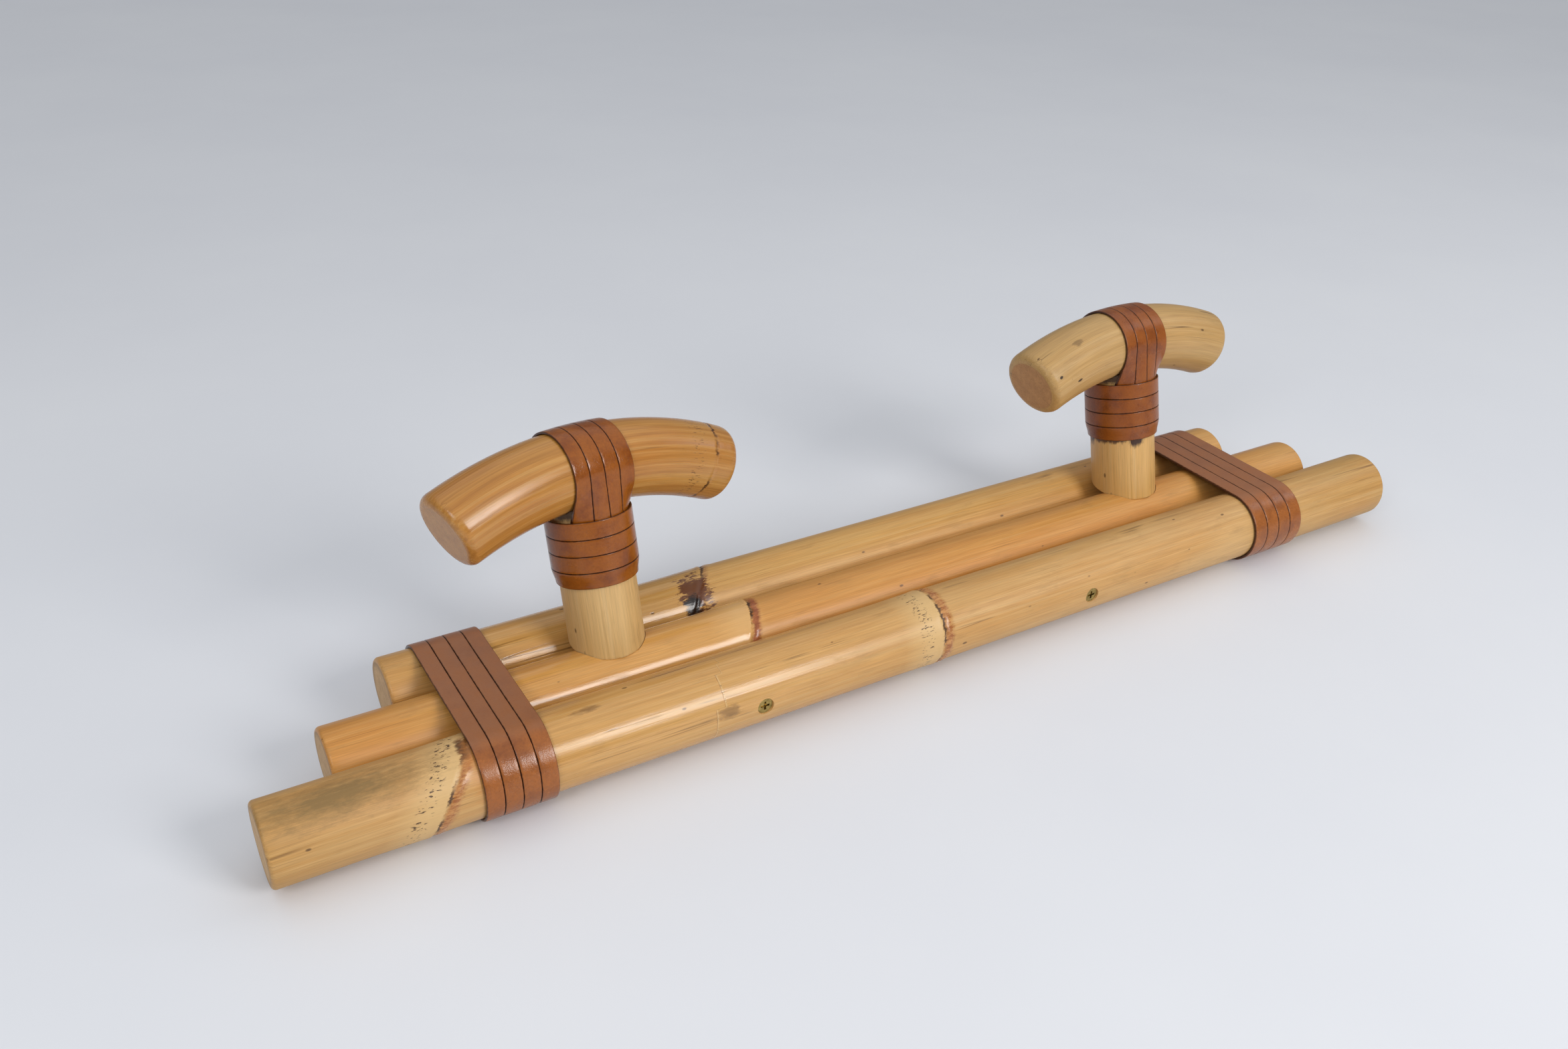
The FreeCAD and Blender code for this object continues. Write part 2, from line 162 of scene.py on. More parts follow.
def alongStops(span, stops):
    # turns places along a piece, in metres, into shares of its length
    return [((x - span[0]) / (span[1] - span[0]), value) for x, value in stops]


def newMaterial(name):
    material = bpy.data.materials.new(name)
    material.use_nodes = True
    material.node_tree.nodes.clear()
    return material, material.node_tree


def objectPlace(tree):
    return addNode(tree, "TexCoord").outputs["Object"]


def cellsOn(tree, vector, scale):
    return addNode(tree, "TexVoronoi", {"Vector": vector, "Scale": scale}).outputs


def reliefFrom(tree, height, strength, distance):
    inputs = {"Height": height, "Strength": strength, "Distance": distance}
    return addNode(tree, "Bump", inputs).outputs[0]


def finishMaterial(tree, inputs):
    shader = addNode(tree, "BsdfPrincipled", inputs)
    addNode(tree, "OutputMaterial", {"Surface": shader.outputs[0]})


# cane: grain, specks, node rings, stains and sawn ends

def spotMask(tree, grain, radius, spot, jitter):
    # a ragged patch on the skin; at is its place along the piece and its angle round it
    x, angle = spot["at"]
    length, width = spot["size"]
    turn = math.radians(angle)
    centre = (x, radius * math.cos(turn), radius * math.sin(turn))
    away = addNode(tree, "VectorMath", {0: grain, 1: centre}, operation="SUBTRACT").outputs[0]
    share = [1 / length, 1 / width, 1 / width]
    scaled = addNode(tree, "VectorMath", {0: away, 1: share}, operation="MULTIPLY").outputs[0]
    reach = addNode(tree, "VectorMath", {0: scaled}, operation="LENGTH").outputs["Value"]
    ragged = times(tree, jitter, spot["ragged"])
    return remap(tree, plus(tree, reach, ragged), 1.0, spot["core"], 0.0, spot["strength"])


def caneMaterial(name, look):
    material, tree = newMaterial(name)
    grain = attribute(tree, "grain", "Vector")
    depth = attribute(tree, "depth", "Fac")
    fromNode = attribute(tree, "fromNode", "Fac")
    along = addNode(tree, "SeparateXYZ", {0: grain}).outputs[0]
    share = remap(tree, along, look["span"][0], look["span"][1])

    broad = noiseOn(tree, grain, (9, 34, 34), 3)
    streak = noiseOn(tree, grain, (5, 430, 430), 5, 0.62)
    fibre = noiseOn(tree, grain, (55, 2600, 2600), 2, 0.5)
    ragged = noiseOn(tree, grain, (210, 760, 760), 3, 0.7)

    colour = rampOf(tree, share, alongStops(look["span"], look["tints"]))
    warmShare = remap(tree, broad, 0.42, 0.68, 0.0, look["warmShare"])
    colour = blend(tree, warmShare, colour, look["warm"])
    paleShare = remap(tree, streak, 0.5, 0.72, 0.0, look["paleShare"])
    colour = blend(tree, paleShare, colour, look["pale"])
    darkShare = remap(tree, streak, 0.5, 0.3, 0.0, look["darkShare"])
    colour = blend(tree, darkShare, colour, look["dark"])
    fibreShade = remap(tree, fibre, 0.3, 0.7, 0.86, 1.08)
    colour = blend(tree, 1.0, colour, fibreShade, "MULTIPLY")

    # long fine checks
    checkField = noiseOn(tree, grain, (1.8, 150, 150), 2, 0.4)
    offLine = maths(tree, "ABSOLUTE", maths(tree, "SUBTRACT", checkField, 0.5))
    gaps = noiseOn(tree, grain, (26, 60, 60), 2)
    checks = times(tree, remap(tree, offLine, 0.008, 0.002), remap(tree, gaps, 0.5, 0.62))
    checks = times(tree, checks, look["checks"])
    colour = blend(tree, checks, colour, look["line"])

    # scattered specks
    cells = cellsOn(tree, stretched(tree, grain, (95, 190, 190)), 1.0)
    chosen = addNode(tree, "SeparateColor", {0: cells["Color"]}).outputs[0]
    speckSize = remap(tree, chosen, 0.72, 1.0, 0.0, look["speckSize"])
    nearSpeck = maths(tree, "SUBTRACT", speckSize, cells["Distance"])
    specks = remap(tree, nearSpeck, 0.0, 0.06, 0.0, look["specks"])
    colour = blend(tree, specks, colour, look["line"])

    # handling dirt in soft patches
    dirtField = noiseOn(tree, grain, (24, 90, 90), 5, 0.7)
    dirt = remap(tree, dirtField, 0.56, 0.74, 0.0, look["dirt"])
    colour = blend(tree, dirt, colour, look["dirtColour"])

    # node rings
    jitter = remap(tree, ragged, 0.0, 1.0, -0.0022, 0.0022)
    uneven = plus(tree, fromNode, jitter)
    beforeRing = times(tree, band(tree, uneven, -0.024, -0.008, -0.0012, 0.0003), look["nodePale"])
    colour = blend(tree, beforeRing, colour, look["pale"])
    dashField = noiseOn(tree, grain, (420, 1500, 1500), 1)
    dashes = remap(tree, dashField, 0.615, 0.655)
    dashZone = band(tree, fromNode, -0.0150, -0.0130, -0.0075, -0.0055)
    dashes = times(tree, times(tree, dashes, dashZone), look["dashes"])
    colour = blend(tree, dashes, colour, look["scar"])
    ring = band(tree, uneven, 0.0002, 0.0012, look["ringWidth"] * 0.6, look["ringWidth"])
    ring = times(tree, ring, look["ringShare"])
    ringTone = blend(tree, remap(tree, ragged, 0.4, 0.62), look["ring"], look["ringLight"])
    colour = blend(tree, ring, colour, ringTone)
    scarLine = band(tree, uneven, -0.0011, -0.0004, 0.0004, 0.0012)
    scarBreaks = remap(tree, noiseOn(tree, grain, (60, 130, 130), 2), 0.4, 0.55)
    scarLine = times(tree, times(tree, scarLine, scarBreaks), look["scarShare"])
    colour = blend(tree, scarLine, colour, look["scar"])

    # stains and smears at their own places
    spotJitter = maths(tree, "SUBTRACT", noiseOn(tree, grain, (130, 420, 420), 4, 0.75), 0.5)
    glossSpots = []
    for spot in look["spots"]:
        mask = spotMask(tree, grain, look["radius"], spot, spotJitter)
        colour = blend(tree, mask, colour, spot["colour"])
        glossSpots.append((mask, spot["roughness"]))

    # sawn wood below the skin
    mottle = noiseOn(tree, grain, (260, 260, 260), 5, 0.7)
    endColour = blend(tree, remap(tree, mottle, 0.35, 0.7), look["endPale"], look["endDark"])
    poreCells = cellsOn(tree, stretched(tree, grain, (40, 1150, 1150)), 1.0)
    pores = remap(tree, poreCells["Distance"], 0.32, 0.12, 0.0, 0.4)
    endColour = blend(tree, pores, endColour, look["line"])
    rim = band(tree, plus(tree, depth, jitter), 0.0006, 0.0014, 0.0024, 0.005)
    endColour = blend(tree, times(tree, rim, look["rimShare"]), endColour, look["rim"])
    sawn = remap(tree, depth, look["sawnFrom"], look["sawnFrom"] + 0.0007)
    colour = blend(tree, sawn, colour, endColour)

    # polish
    polish = [(x, (level, level, level, 1)) for x, level in look["polish"]]
    roughness = rampOf(tree, share, alongStops(look["span"], polish))
    roughness = plus(tree, roughness, remap(tree, streak, 0.35, 0.65, -0.07, 0.1))
    roughness = plus(tree, roughness, times(tree, dirt, 0.4))
    for mask, level in glossSpots:
        roughness = blendValue(tree, mask, roughness, level)
    roughness = blendValue(tree, sawn, roughness, look["endRoughness"])
    roughness = blendValue(tree, ring, roughness, 0.22)

    # relief
    height = plus(tree, times(tree, streak, 1.3), times(tree, fibre, 0.25))
    height = maths(tree, "SUBTRACT", height, times(tree, checks, 0.5))
    height = maths(tree, "SUBTRACT", height, times(tree, specks, 0.6))
    height = plus(tree, height, times(tree, times(tree, ring, ragged), 2.5))
    height = maths(tree, "SUBTRACT", height, times(tree, dashes, 0.9))
    relief = reliefFrom(tree, height, look["relief"], 0.00012)
    finishMaterial(tree, {"Base Color": colour, "Roughness": roughness, "IOR": 1.5, "Normal": relief})
    return material


canePlain = {
    "warm": srgb(194, 136, 63), "warmShare": 0.5,
    "pale": srgb(217, 181, 124), "paleShare": 0.45,
    "dark": srgb(168, 116, 55), "darkShare": 0.3,
    "line": srgb(80, 49, 23), "checks": 0.55,
    "speckSize": 0.16, "specks": 0.75,
    "dirt": 0.35, "dirtColour": srgb(137, 105, 59),
    "nodePale": 0.0, "dashes": 0.0, "scar": srgb(56, 27, 12), "scarShare": 0.0,
    "ring": srgb(147, 79, 35), "ringLight": srgb(199, 141, 82), "ringShare": 0.0, "ringWidth": 0.005,
    "spots": [],
    "endPale": srgb(211, 171, 112), "endDark": srgb(186, 141, 84),
    "rim": srgb(125, 90, 49), "rimShare": 0.6, "sawnFrom": 0.0016, "endRoughness": 0.5,
    "relief": 0.55,
}


# building blocks for the meshes

mergeDistance = 0.000004
farFromNode = 0.06
roundSteps = 96  # sides of every turned rod


def sceneObject(name, mesh):
    made = bpy.data.objects.new(name, mesh)
    scene.collection.objects.link(made)
    return made


def meshFrom(bm, name):
    mesh = bpy.data.meshes.new(name)
    bm.to_mesh(mesh)
    bm.free()
    return mesh


def finishPiece(bm, name, material, node):
    sharpFrom = 42  # degrees
    mesh = meshFrom(bm, name)
    mesh.shade_smooth()
    mesh.set_sharp_from_angle(angle=math.radians(sharpFrom))
    mesh.materials.append(material)
    piece = sceneObject(name, mesh)
    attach(piece, "root")
    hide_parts(node)


def lathe(profile, steps):
    # profile points are (along, radius); the result is a closed solid round the X axis
    bm = bmesh.new()
    points = [bm.verts.new((along, 0, radius)) for along, radius in profile]
    edges = [bm.edges.new(pair) for pair in zip(points, points[1:])]
    bmesh.ops.spin(bm, geom=points + edges, cent=(0, 0, 0), axis=(1, 0, 0), dvec=(0, 0, 0),
                   angle=2 * math.pi, steps=steps, use_merge=True, use_duplicate=False)
    bmesh.ops.remove_doubles(bm, verts=bm.verts, dist=mergeDistance)
    bmesh.ops.recalc_face_normals(bm, faces=bm.faces)
    return bm


def roundedRod(low, high, radius, edgeRound, stations):
    # profile of a rod: flat end, rounded edge, wall with the given stations, and the same again
    profile = [(low, radius * share) for share in (0.0, 0.25, 0.5, 0.75)]
    arcSteps = 5
    for i in range(arcSteps + 1):
        turn = math.pi / 2 * i / arcSteps
        profile.append((low + edgeRound * (1 - math.cos(turn)), radius - edgeRound * (1 - math.sin(turn))))
    mirrored = [(high + low - along, rim) for along, rim in reversed(profile)]
    wall = [(x, radius) for x in stations if low + edgeRound * 1.3 < x < high - edgeRound * 1.3]
    return profile + wall + mirrored


def carve(bm, cutters):
    # subtracts each cutter mesh and returns a new bmesh
    base = sceneObject("carveBase", meshFrom(bm, "carveBase"))
    tools = []
    for cutter in cutters:
        tool = sceneObject("carveTool", meshFrom(cutter, "carveTool"))
        cut = base.modifiers.new("cut", "BOOLEAN")
        cut.operation = "DIFFERENCE"
        cut.solver = "EXACT"
        cut.object = tool
        tools.append(tool)
    graph = bpy.context.evaluated_depsgraph_get()
    result = bpy.data.meshes.new_from_object(base.evaluated_get(graph))
    carved = bmesh.new()
    carved.from_mesh(result)
    for spent in [base] + tools:
        bpy.data.objects.remove(spent)
    bpy.data.meshes.remove(result)
    return carved


def placed(bm, matrix):
    bmesh.ops.transform(bm, matrix=matrix, verts=bm.verts)
    return bm


def caneLayers(bm):
    # grain: place in the straight piece; depth: how far below the skin; fromNode: distance to a node
    layers = bm.verts.layers
    return layers.float_vector.new("grain"), layers.float.new("depth"), layers.float.new("fromNode")


def keepAbove(bm, height):
    # cuts away what lies below a level plane and fills the cut; returns its rim and its faces
    cut = bmesh.ops.bisect_plane(bm, geom=bm.verts[:] + bm.edges[:] + bm.faces[:],
                                 plane_co=(0, 0, height), plane_no=(0, 0, 1), clear_inner=True)
    rim = [item for item in cut["geom_cut"] if isinstance(item, bmesh.types.BMEdge)]
    return rim, bmesh.ops.holes_fill(bm, edges=rim)["faces"]


# poles

def poleFrame(node):
    low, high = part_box(node)
    return {"low": low.x, "high": high.x, "y": (low.y + high.y) / 2, "z": (low.z + high.z) / 2,
            "radius": (high.z - low.z) / 2}


def ringPlace(ring, angle):
    # where a node ring crosses the given angle; a ring can lie askew round its pole
    lean = math.cos(math.radians(angle - ring["turn"]))
    turn = math.radians(angle)
    wobble = drift(math.cos(turn) * 2.5, math.sin(turn) * 2.5, ring["x"] * 40)
    return ring["x"] + ring["skew"] * lean + 0.0007 * wobble


def nearestRing(rings, x, angle):
    # signed distance along the piece to the nearest node ring, held within farFromNode
    away = 1.0
    for ring in rings:
        distance = x - ringPlace(ring, angle)
        if abs(distance) < abs(away):
            away = distance
    return min(max(away, -farFromNode), farFromNode)


def skinHeight(rings, seed, x, angle):
    turn = math.radians(angle)
    around = drift(x * 14, math.cos(turn) * 1.3, math.sin(turn) * 1.3 + seed)
    ribs = drift(x * 3, math.cos(turn) * 7, math.sin(turn) * 7 + seed)
    height = 0.00009 * (around - 1) + 0.00004 * (ribs - 1)
    for ring in rings:
        away = x - ringPlace(ring, angle)
        swell = ease(-0.03, -0.0012, away) * (1 - ease(-0.0012, 0.0006, away))
        ridge = bell(away, 0.0028, 0.0022) + 0.5 * bell(away, -0.0018, 0.0012)
        scar = bell(away, 0.0002, 0.0006)
        rough = 0.7 + 0.5 * drift(x * 500, math.cos(turn) * 9, math.sin(turn) * 9)
        height += ring["swell"] * swell + ring["ridge"] * ridge * rough - ring["scar"] * scar
    return height


def touchFade(touches, angle):
    # 0 where a neighbouring pole touches, 1 elsewhere
    fade = 1.0
    for touch in touches:
        fade *= ease(6, 26, abs((angle - touch + 180) % 360 - 180))
    return fade


def poleStations(pole, rings, holes):
    # close together near a node or a screw hole, far apart between them
    stations = []
    x = pole["low"]
    while x < pole["high"]:
        nodeGaps = [abs(x - ring["x"]) - abs(ring["skew"]) for ring in rings]
        close = min(nodeGaps + [abs(x - hole) for hole in holes] + [1.0])
        x += 0.0007 if close < 0.007 else 0.0018 if close < 0.02 else 0.005
        stations.append(x)
    return stations


def screwCutter(screw):
    # the recess, countersink and shank of a wood screw, opening along +X before it is placed
    reach = 0.02
    slack = 0.0001
    headHeight = screw["headRadius"] * 0.75
    profile = [(reach, 0), (reach, screw["recessRadius"]), (0, screw["recessRadius"]),
               (0, screw["headRadius"] + slack), (-headHeight, screw["radius"] + slack),
               (-screw["length"], screw["radius"] + slack), (-screw["length"], 0)]
    return lathe(profile, 40)


def buildPole(pole, name, material, node):
    place = poleFrame(node)
    rings = pole["rings"]
    stations = poleStations(place, rings, pole["holes"])
    profile = roundedRod(place["low"], place["high"], place["radius"], pole["edgeRound"], stations)
    bm = lathe(profile, roundSteps)
    for vert in bm.verts:
        angle = math.degrees(math.atan2(vert.co.z, vert.co.y))
        height = skinHeight(rings, pole["seed"], vert.co.x, angle)
        if height > 0:
            height *= touchFade(pole["touches"], angle)
        scale = 1 + height / place["radius"]
        vert.co.y *= scale
        vert.co.z *= scale
    placed(bm, Matrix.Translation((0, place["y"], place["z"])))
    bm = carve(bm, pole["cutters"])
    grainLayer, depthLayer, ringLayer = caneLayers(bm)
    for vert in bm.verts:
        y = vert.co.y - place["y"]
        z = vert.co.z - place["z"]
        angle = math.degrees(math.atan2(z, y))
        vert[grainLayer] = (vert.co.x, y, z)
        vert[depthLayer] = place["radius"] - math.hypot(y, z)
        vert[ringLayer] = nearestRing(rings, vert.co.x, angle)
    finishPiece(bm, name, material, node)


frontPlace = poleFrame("pole_front")
middlePlace = poleFrame("pole_middle")
rearPlace = poleFrame("pole_rear")

sideScrew = {"radius": 0.0025, "headRadius": 0.004, "length": 0.052, "recessRadius": 0.0043,
             "recessDepth": 0.001}
baseScrew = {"radius": 0.0025, "headRadius": 0.0045, "length": 0.064, "recessRadius": 0.0046,
             "start": -0.033, "offset": -0.006}


def screwPlaces(node, count):
    # middles along X of a group of equal screws that stand in a row
    low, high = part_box(node)
    headRadius = sideScrew["headRadius"]
    step = (high.x - low.x - 2 * headRadius) / (count - 1)
    return [low.x + headRadius + step * i for i in range(count)]


def sideCutters(places, place, towards):
    # screw holes that enter a pole from its outer side; towards is -1 at the front and 1 at the rear
    cutters = []
    for x in places:
        head = place["y"] + towards * (place["radius"] - sideScrew["recessDepth"])
        matrix = Matrix.Translation((x, head, place["z"])) @ turned(towards * 90, "Z")
        cutters.append(placed(screwCutter(sideScrew), matrix))
    return cutters


frontScrewPlaces = screwPlaces("front_pole_screws", 2)
rearScrewPlaces = screwPlaces("rear_pole_screws", 2)


# pegs are made upright at the origin, then twisted, leant along the poles and tilted to the rear

pegs = {
    "seat": 0.03615, "behindMiddle": 0.0103, "tilt": 14,
    "postRadius": 0.0184, "barRadius": 0.019, "barRise": 0.0865, "arcRadius": 0.19,
    "endRound": 0.0045, "cope": 0.003, "copeFit": 0.0001,
    "leather": 0.0011, "leatherEdge": 0.0003, "leatherFit": 0.00015, "gap": 0.0002, "strips": 4,
    "saddleWidth": 0.0078, "saddleTuck": 0.001, "saddleCuts": 130,
    "collarWidth": 0.008, "collarTop": 0.065108, "collarCuts": 110,
}


def pegFrame(side, x, lean, twist, barShift, barAngles):
    foot = Matrix.Translation((x, middlePlace["y"] + pegs["behindMiddle"], pegs["seat"]))
    tilt = turned(-pegs["tilt"], "X")
    turn = turned(-lean, "Y") @ turned(twist, "Z")
    return {"side": side, "x": x, "barShift": barShift, "barAngles": barAngles,
            "matrix": foot @ tilt @ turn}


leftPeg = pegFrame("left", -0.1573, 0.5, 11.5, -0.007, (-20.2, 26.3))
rightPeg = pegFrame("right", 0.1762, 0.6, 4.0, -0.004, (-20.4, 22.9))


def barHeight(peg, x):
    reach = x - peg["barShift"]
    return pegs["barRise"] - pegs["arcRadius"] + math.sqrt(pegs["arcRadius"] ** 2 - reach ** 2)


def upCutter(radius, length, matrix):
    # a cylinder that stands on the XY plane before it is placed
    bm = bmesh.new()
    bmesh.ops.create_cone(bm, cap_ends=True, segments=roundSteps, radius1=radius, radius2=radius,
                          depth=length)
    placed(bm, Matrix.Translation((0, 0, length / 2)))
    return placed(bm, matrix)


def baseScrewCutter(peg):
    place = Matrix.Translation((0, baseScrew["offset"], baseScrew["start"]))
    return placed(screwCutter(baseScrew), peg["matrix"] @ place @ turned(90, "Y"))


def seatCutter(peg):
    # flat seat for the post's foot, level while the post leans
    bm = upCutter(pegs["postRadius"] + 0.0002, 0.06, peg["matrix"] @ Matrix.Translation((0, 0, -0.01)))
    keepAbove(bm, pegs["seat"])
    bmesh.ops.recalc_face_normals(bm, faces=bm.faces)
    return bm


hanger = {"fit": 0.00015, "entry": -0.002, "rise": 0.0055, "pocketRadius": 0.0056, "pocketDepth": 0.006}


def hangerCutters(node):
    # the flat under a keyhole plate and the pocket behind its keyhole
    low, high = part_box(node)
    fit = hanger["fit"]
    x = (low.x + high.x) / 2
    y = (low.y + high.y) / 2
    size = (high.x - low.x + 2 * fit, high.y - low.y + 2 * fit, high.z + 0.01)
    flat = bmesh.new()
    bmesh.ops.create_cube(flat, size=1)
    placed(flat, Matrix.Translation((x, y, high.z - size[2] / 2)) @ Matrix.Diagonal((*size, 1)))
    entry = y + hanger["entry"]
    cutters = [flat]
    for place in (entry, entry + hanger["rise"]):
        matrix = Matrix.Translation((x, place, high.z - 0.001))
        cutters.append(upCutter(hanger["pocketRadius"], hanger["pocketDepth"], matrix))
    return cutters


frontPole = {
    "edgeRound": 0.002, "seed": 3.0, "touches": [0], "holes": frontScrewPlaces,
    "rings": [
        {"x": -0.2535, "skew": 0.0124, "turn": 50, "swell": 0.00035, "ridge": 0.00035, "scar": 0.0003},
        {"x": -0.0025, "skew": 0.0010, "turn": 90, "swell": 0.00035, "ridge": 0.00060, "scar": 0.0003},
    ],
    "cutters": sideCutters(frontScrewPlaces, frontPlace, -1),
}
middlePole = {
    "edgeRound": 0.002, "seed": 7.0, "touches": [0, 180],
    "holes": frontScrewPlaces + rearScrewPlaces + [leftPeg["x"], rightPeg["x"]],
    "rings": [{"x": -0.088, "skew": 0.0065, "turn": 30, "swell": 0.0005, "ridge": 0.0003, "scar": 0.0006}],
    "cutters": sideCutters(frontScrewPlaces, frontPlace, -1) + sideCutters(rearScrewPlaces, rearPlace, 1)
    + [seatCutter(leftPeg), seatCutter(rightPeg), baseScrewCutter(leftPeg), baseScrewCutter(rightPeg)],
}
rearPole = {
    "edgeRound": 0.002, "seed": 11.0, "touches": [180], "holes": rearScrewPlaces,
    "rings": [{"x": -0.098, "skew": 0.011, "turn": 31, "swell": 0.0003, "ridge": 0.00045, "scar": 0.0004}],
    "cutters": sideCutters(rearScrewPlaces, rearPlace, 1) + [seatCutter(leftPeg), seatCutter(rightPeg)]
    + hangerCutters("hanger_plate_left") + hangerCutters("hanger_plate_right"),
}

frontLook = {
    **canePlain, "span": (frontPlace["low"], frontPlace["high"]), "radius": 0.019,
    "tints": [
        (-0.33, srgb(192, 148, 85)), (-0.27, srgb(203, 161, 104)), (-0.21, srgb(207, 159, 95)),
        (-0.06, srgb(205, 156, 91)), (0.02, srgb(203, 159, 99)), (0.2, srgb(207, 165, 107)),
        (0.31, srgb(188, 148, 86)),
    ],
    "nodePale": 0.75, "dashes": 0.9, "scarShare": 0.9, "ringShare": 0.85, "ringWidth": 0.0065,
    "polish": [(-0.33, 0.5), (-0.26, 0.46), (-0.21, 0.17), (-0.1, 0.2), (-0.02, 0.4), (0.31, 0.44)],
    "spots": [
        {"at": (-0.300, 108), "size": (0.050, 0.012), "ragged": 1.5, "core": 0.2,
         "strength": 0.8, "colour": srgb(122, 98, 56), "roughness": 0.55},
        {"at": (-0.246, 96), "size": (0.004, 0.0075), "ragged": 1.6, "core": 0.6,
         "strength": 0.95, "colour": srgb(60, 28, 14), "roughness": 0.6},
        {"at": (-0.240, 120), "size": (0.010, 0.026), "ragged": 1.2, "core": 0.3,
         "strength": 0.7, "colour": srgb(198, 128, 58), "roughness": 0.35},
        {"at": (-0.126, 169), "size": (0.006, 0.004), "ragged": 2.6, "core": 0.5,
         "strength": 0.55, "colour": srgb(110, 78, 44), "roughness": 0.5},
        {"at": (-0.190, 100), "size": (0.008, 0.002), "ragged": 1.8, "core": 0.4,
         "strength": 0.6, "colour": srgb(106, 72, 38), "roughness": 0.5},
    ],
}
middleLook = {
    **canePlain, "span": (middlePlace["low"], middlePlace["high"]),
    "tints": [
        (-0.29, srgb(206, 151, 79)), (-0.1, srgb(212, 159, 89)), (-0.09, srgb(214, 164, 98)),
        (-0.08, srgb(206, 147, 75)), (0.1, srgb(208, 149, 77)), (0.3, srgb(200, 151, 84)),
    ],
    "warm": srgb(200, 132, 53), "warmShare": 0.6, "pale": srgb(224, 179, 116), "paleShare": 0.3,
    "dark": srgb(178, 116, 49), "darkShare": 0.3, "checks": 0.35, "relief": 0.35,
    "nodePale": 0.6, "scarShare": 0.95, "ringShare": 0.95, "ringWidth": 0.0055,
    "ring": srgb(134, 66, 31), "ringLight": srgb(176, 103, 55),
    "polish": [(-0.29, 0.4), (-0.24, 0.3), (-0.21, 0.12), (-0.09, 0.13), (-0.083, 0.38), (0.3, 0.38)],
}
rearLook = {
    **canePlain, "span": (rearPlace["low"], rearPlace["high"]), "radius": 0.0185,
    "tints": [(-0.26, srgb(204, 155, 89)), (-0.1, srgb(200, 153, 84)), (0.0, srgb(204, 157, 87)),
              (0.26, srgb(208, 159, 91))],
    "scarShare": 0.9, "ringShare": 0.5, "ringWidth": 0.004, "ring": srgb(112, 58, 25),
    "polish": [(-0.26, 0.4), (-0.21, 0.15), (-0.1, 0.15), (-0.09, 0.4), (0.26, 0.38)],
    "spots": [
        {"at": (-0.101, 126), "size": (0.009, 0.014), "ragged": 3.2, "core": 0.75,
         "strength": 0.95, "colour": srgb(92, 46, 16), "roughness": 0.3},
        {"at": (-0.1045, 144), "size": (0.0062, 0.0062), "ragged": 1.6, "core": 0.6,
         "strength": 0.97, "colour": srgb(24, 17, 16), "roughness": 0.2},
    ],
}

buildPole(frontPole, "frontPole", caneMaterial("frontCane", frontLook), "pole_front")
buildPole(middlePole, "middlePole", caneMaterial("middleCane", middleLook), "pole_middle")
buildPole(rearPole, "rearPole", caneMaterial("rearCane", rearLook), "pole_rear")
print("poles built")


# posts

def barUnderside(peg, x, y):
    # height of the bar's lower surface over a point of the post, or None beside the bar
    radius = pegs["barRadius"] + pegs["copeFit"]
    if abs(y) > radius:
        return None
    reach = pegs["arcRadius"] - math.sqrt(radius ** 2 - y ** 2)
    pivot = pegs["barRise"] - pegs["arcRadius"]
    return pivot + math.sqrt(reach ** 2 - (x - peg["barShift"]) ** 2)


def buildPost(peg, name, material):
    top = barHeight(peg, 0) - pegs["barRadius"] + pegs["cope"]
    radius = pegs["postRadius"]
    low = -0.009
    stations = [low + 0.0015 * i for i in range(1, 60)]
    profile = [(low, 0), (low, radius)]
    profile += [(x, radius) for x in stations if x < top - 0.001]
    profile += [(top, radius * step / 10) for step in range(10, -1, -1)]
    bm = lathe(profile, roundSteps)
    placed(bm, turned(-90, "Y"))
    for vert in bm.verts:
        angle = math.degrees(math.atan2(vert.co.y, vert.co.x))
        under = barUnderside(peg, vert.co.x, vert.co.y)
        if vert.co.z > top - 0.00001 and under is not None:
            vert.co.z = min(top, under)
        scale = 1 + skinHeight([], peg["x"] * 30, vert.co.z, angle) / radius
        vert.co.x *= scale
        vert.co.y *= scale
    grainLayer, depthLayer, ringLayer = caneLayers(bm)
    for vert in bm.verts:
        vert[grainLayer] = (vert.co.z, vert.co.x, vert.co.y)
        vert[depthLayer] = radius - math.hypot(vert.co.x, vert.co.y)
        vert[ringLayer] = farFromNode
    placed(bm, peg["matrix"])
    rim, foot = keepAbove(bm, pegs["seat"])
    bmesh.ops.inset_region(bm, faces=foot, thickness=0.0008, depth=0.0, use_even_offset=True)
    bmesh.ops.bevel(bm, geom=rim, offset=0.0004, offset_type="OFFSET", segments=2, profile=0.5,
                    affect="EDGES", material=-1)
    finishPiece(bm, name, material, "peg_post_" + peg["side"])


# painted shade: dark patches painted on the right post just below its collar's lowest ring, where shade
# falls under the leather
collarFoot = pegs["collarTop"] + pegs["gap"]
collarFoot -= pegs["strips"] * (pegs["collarWidth"] + pegs["gap"])
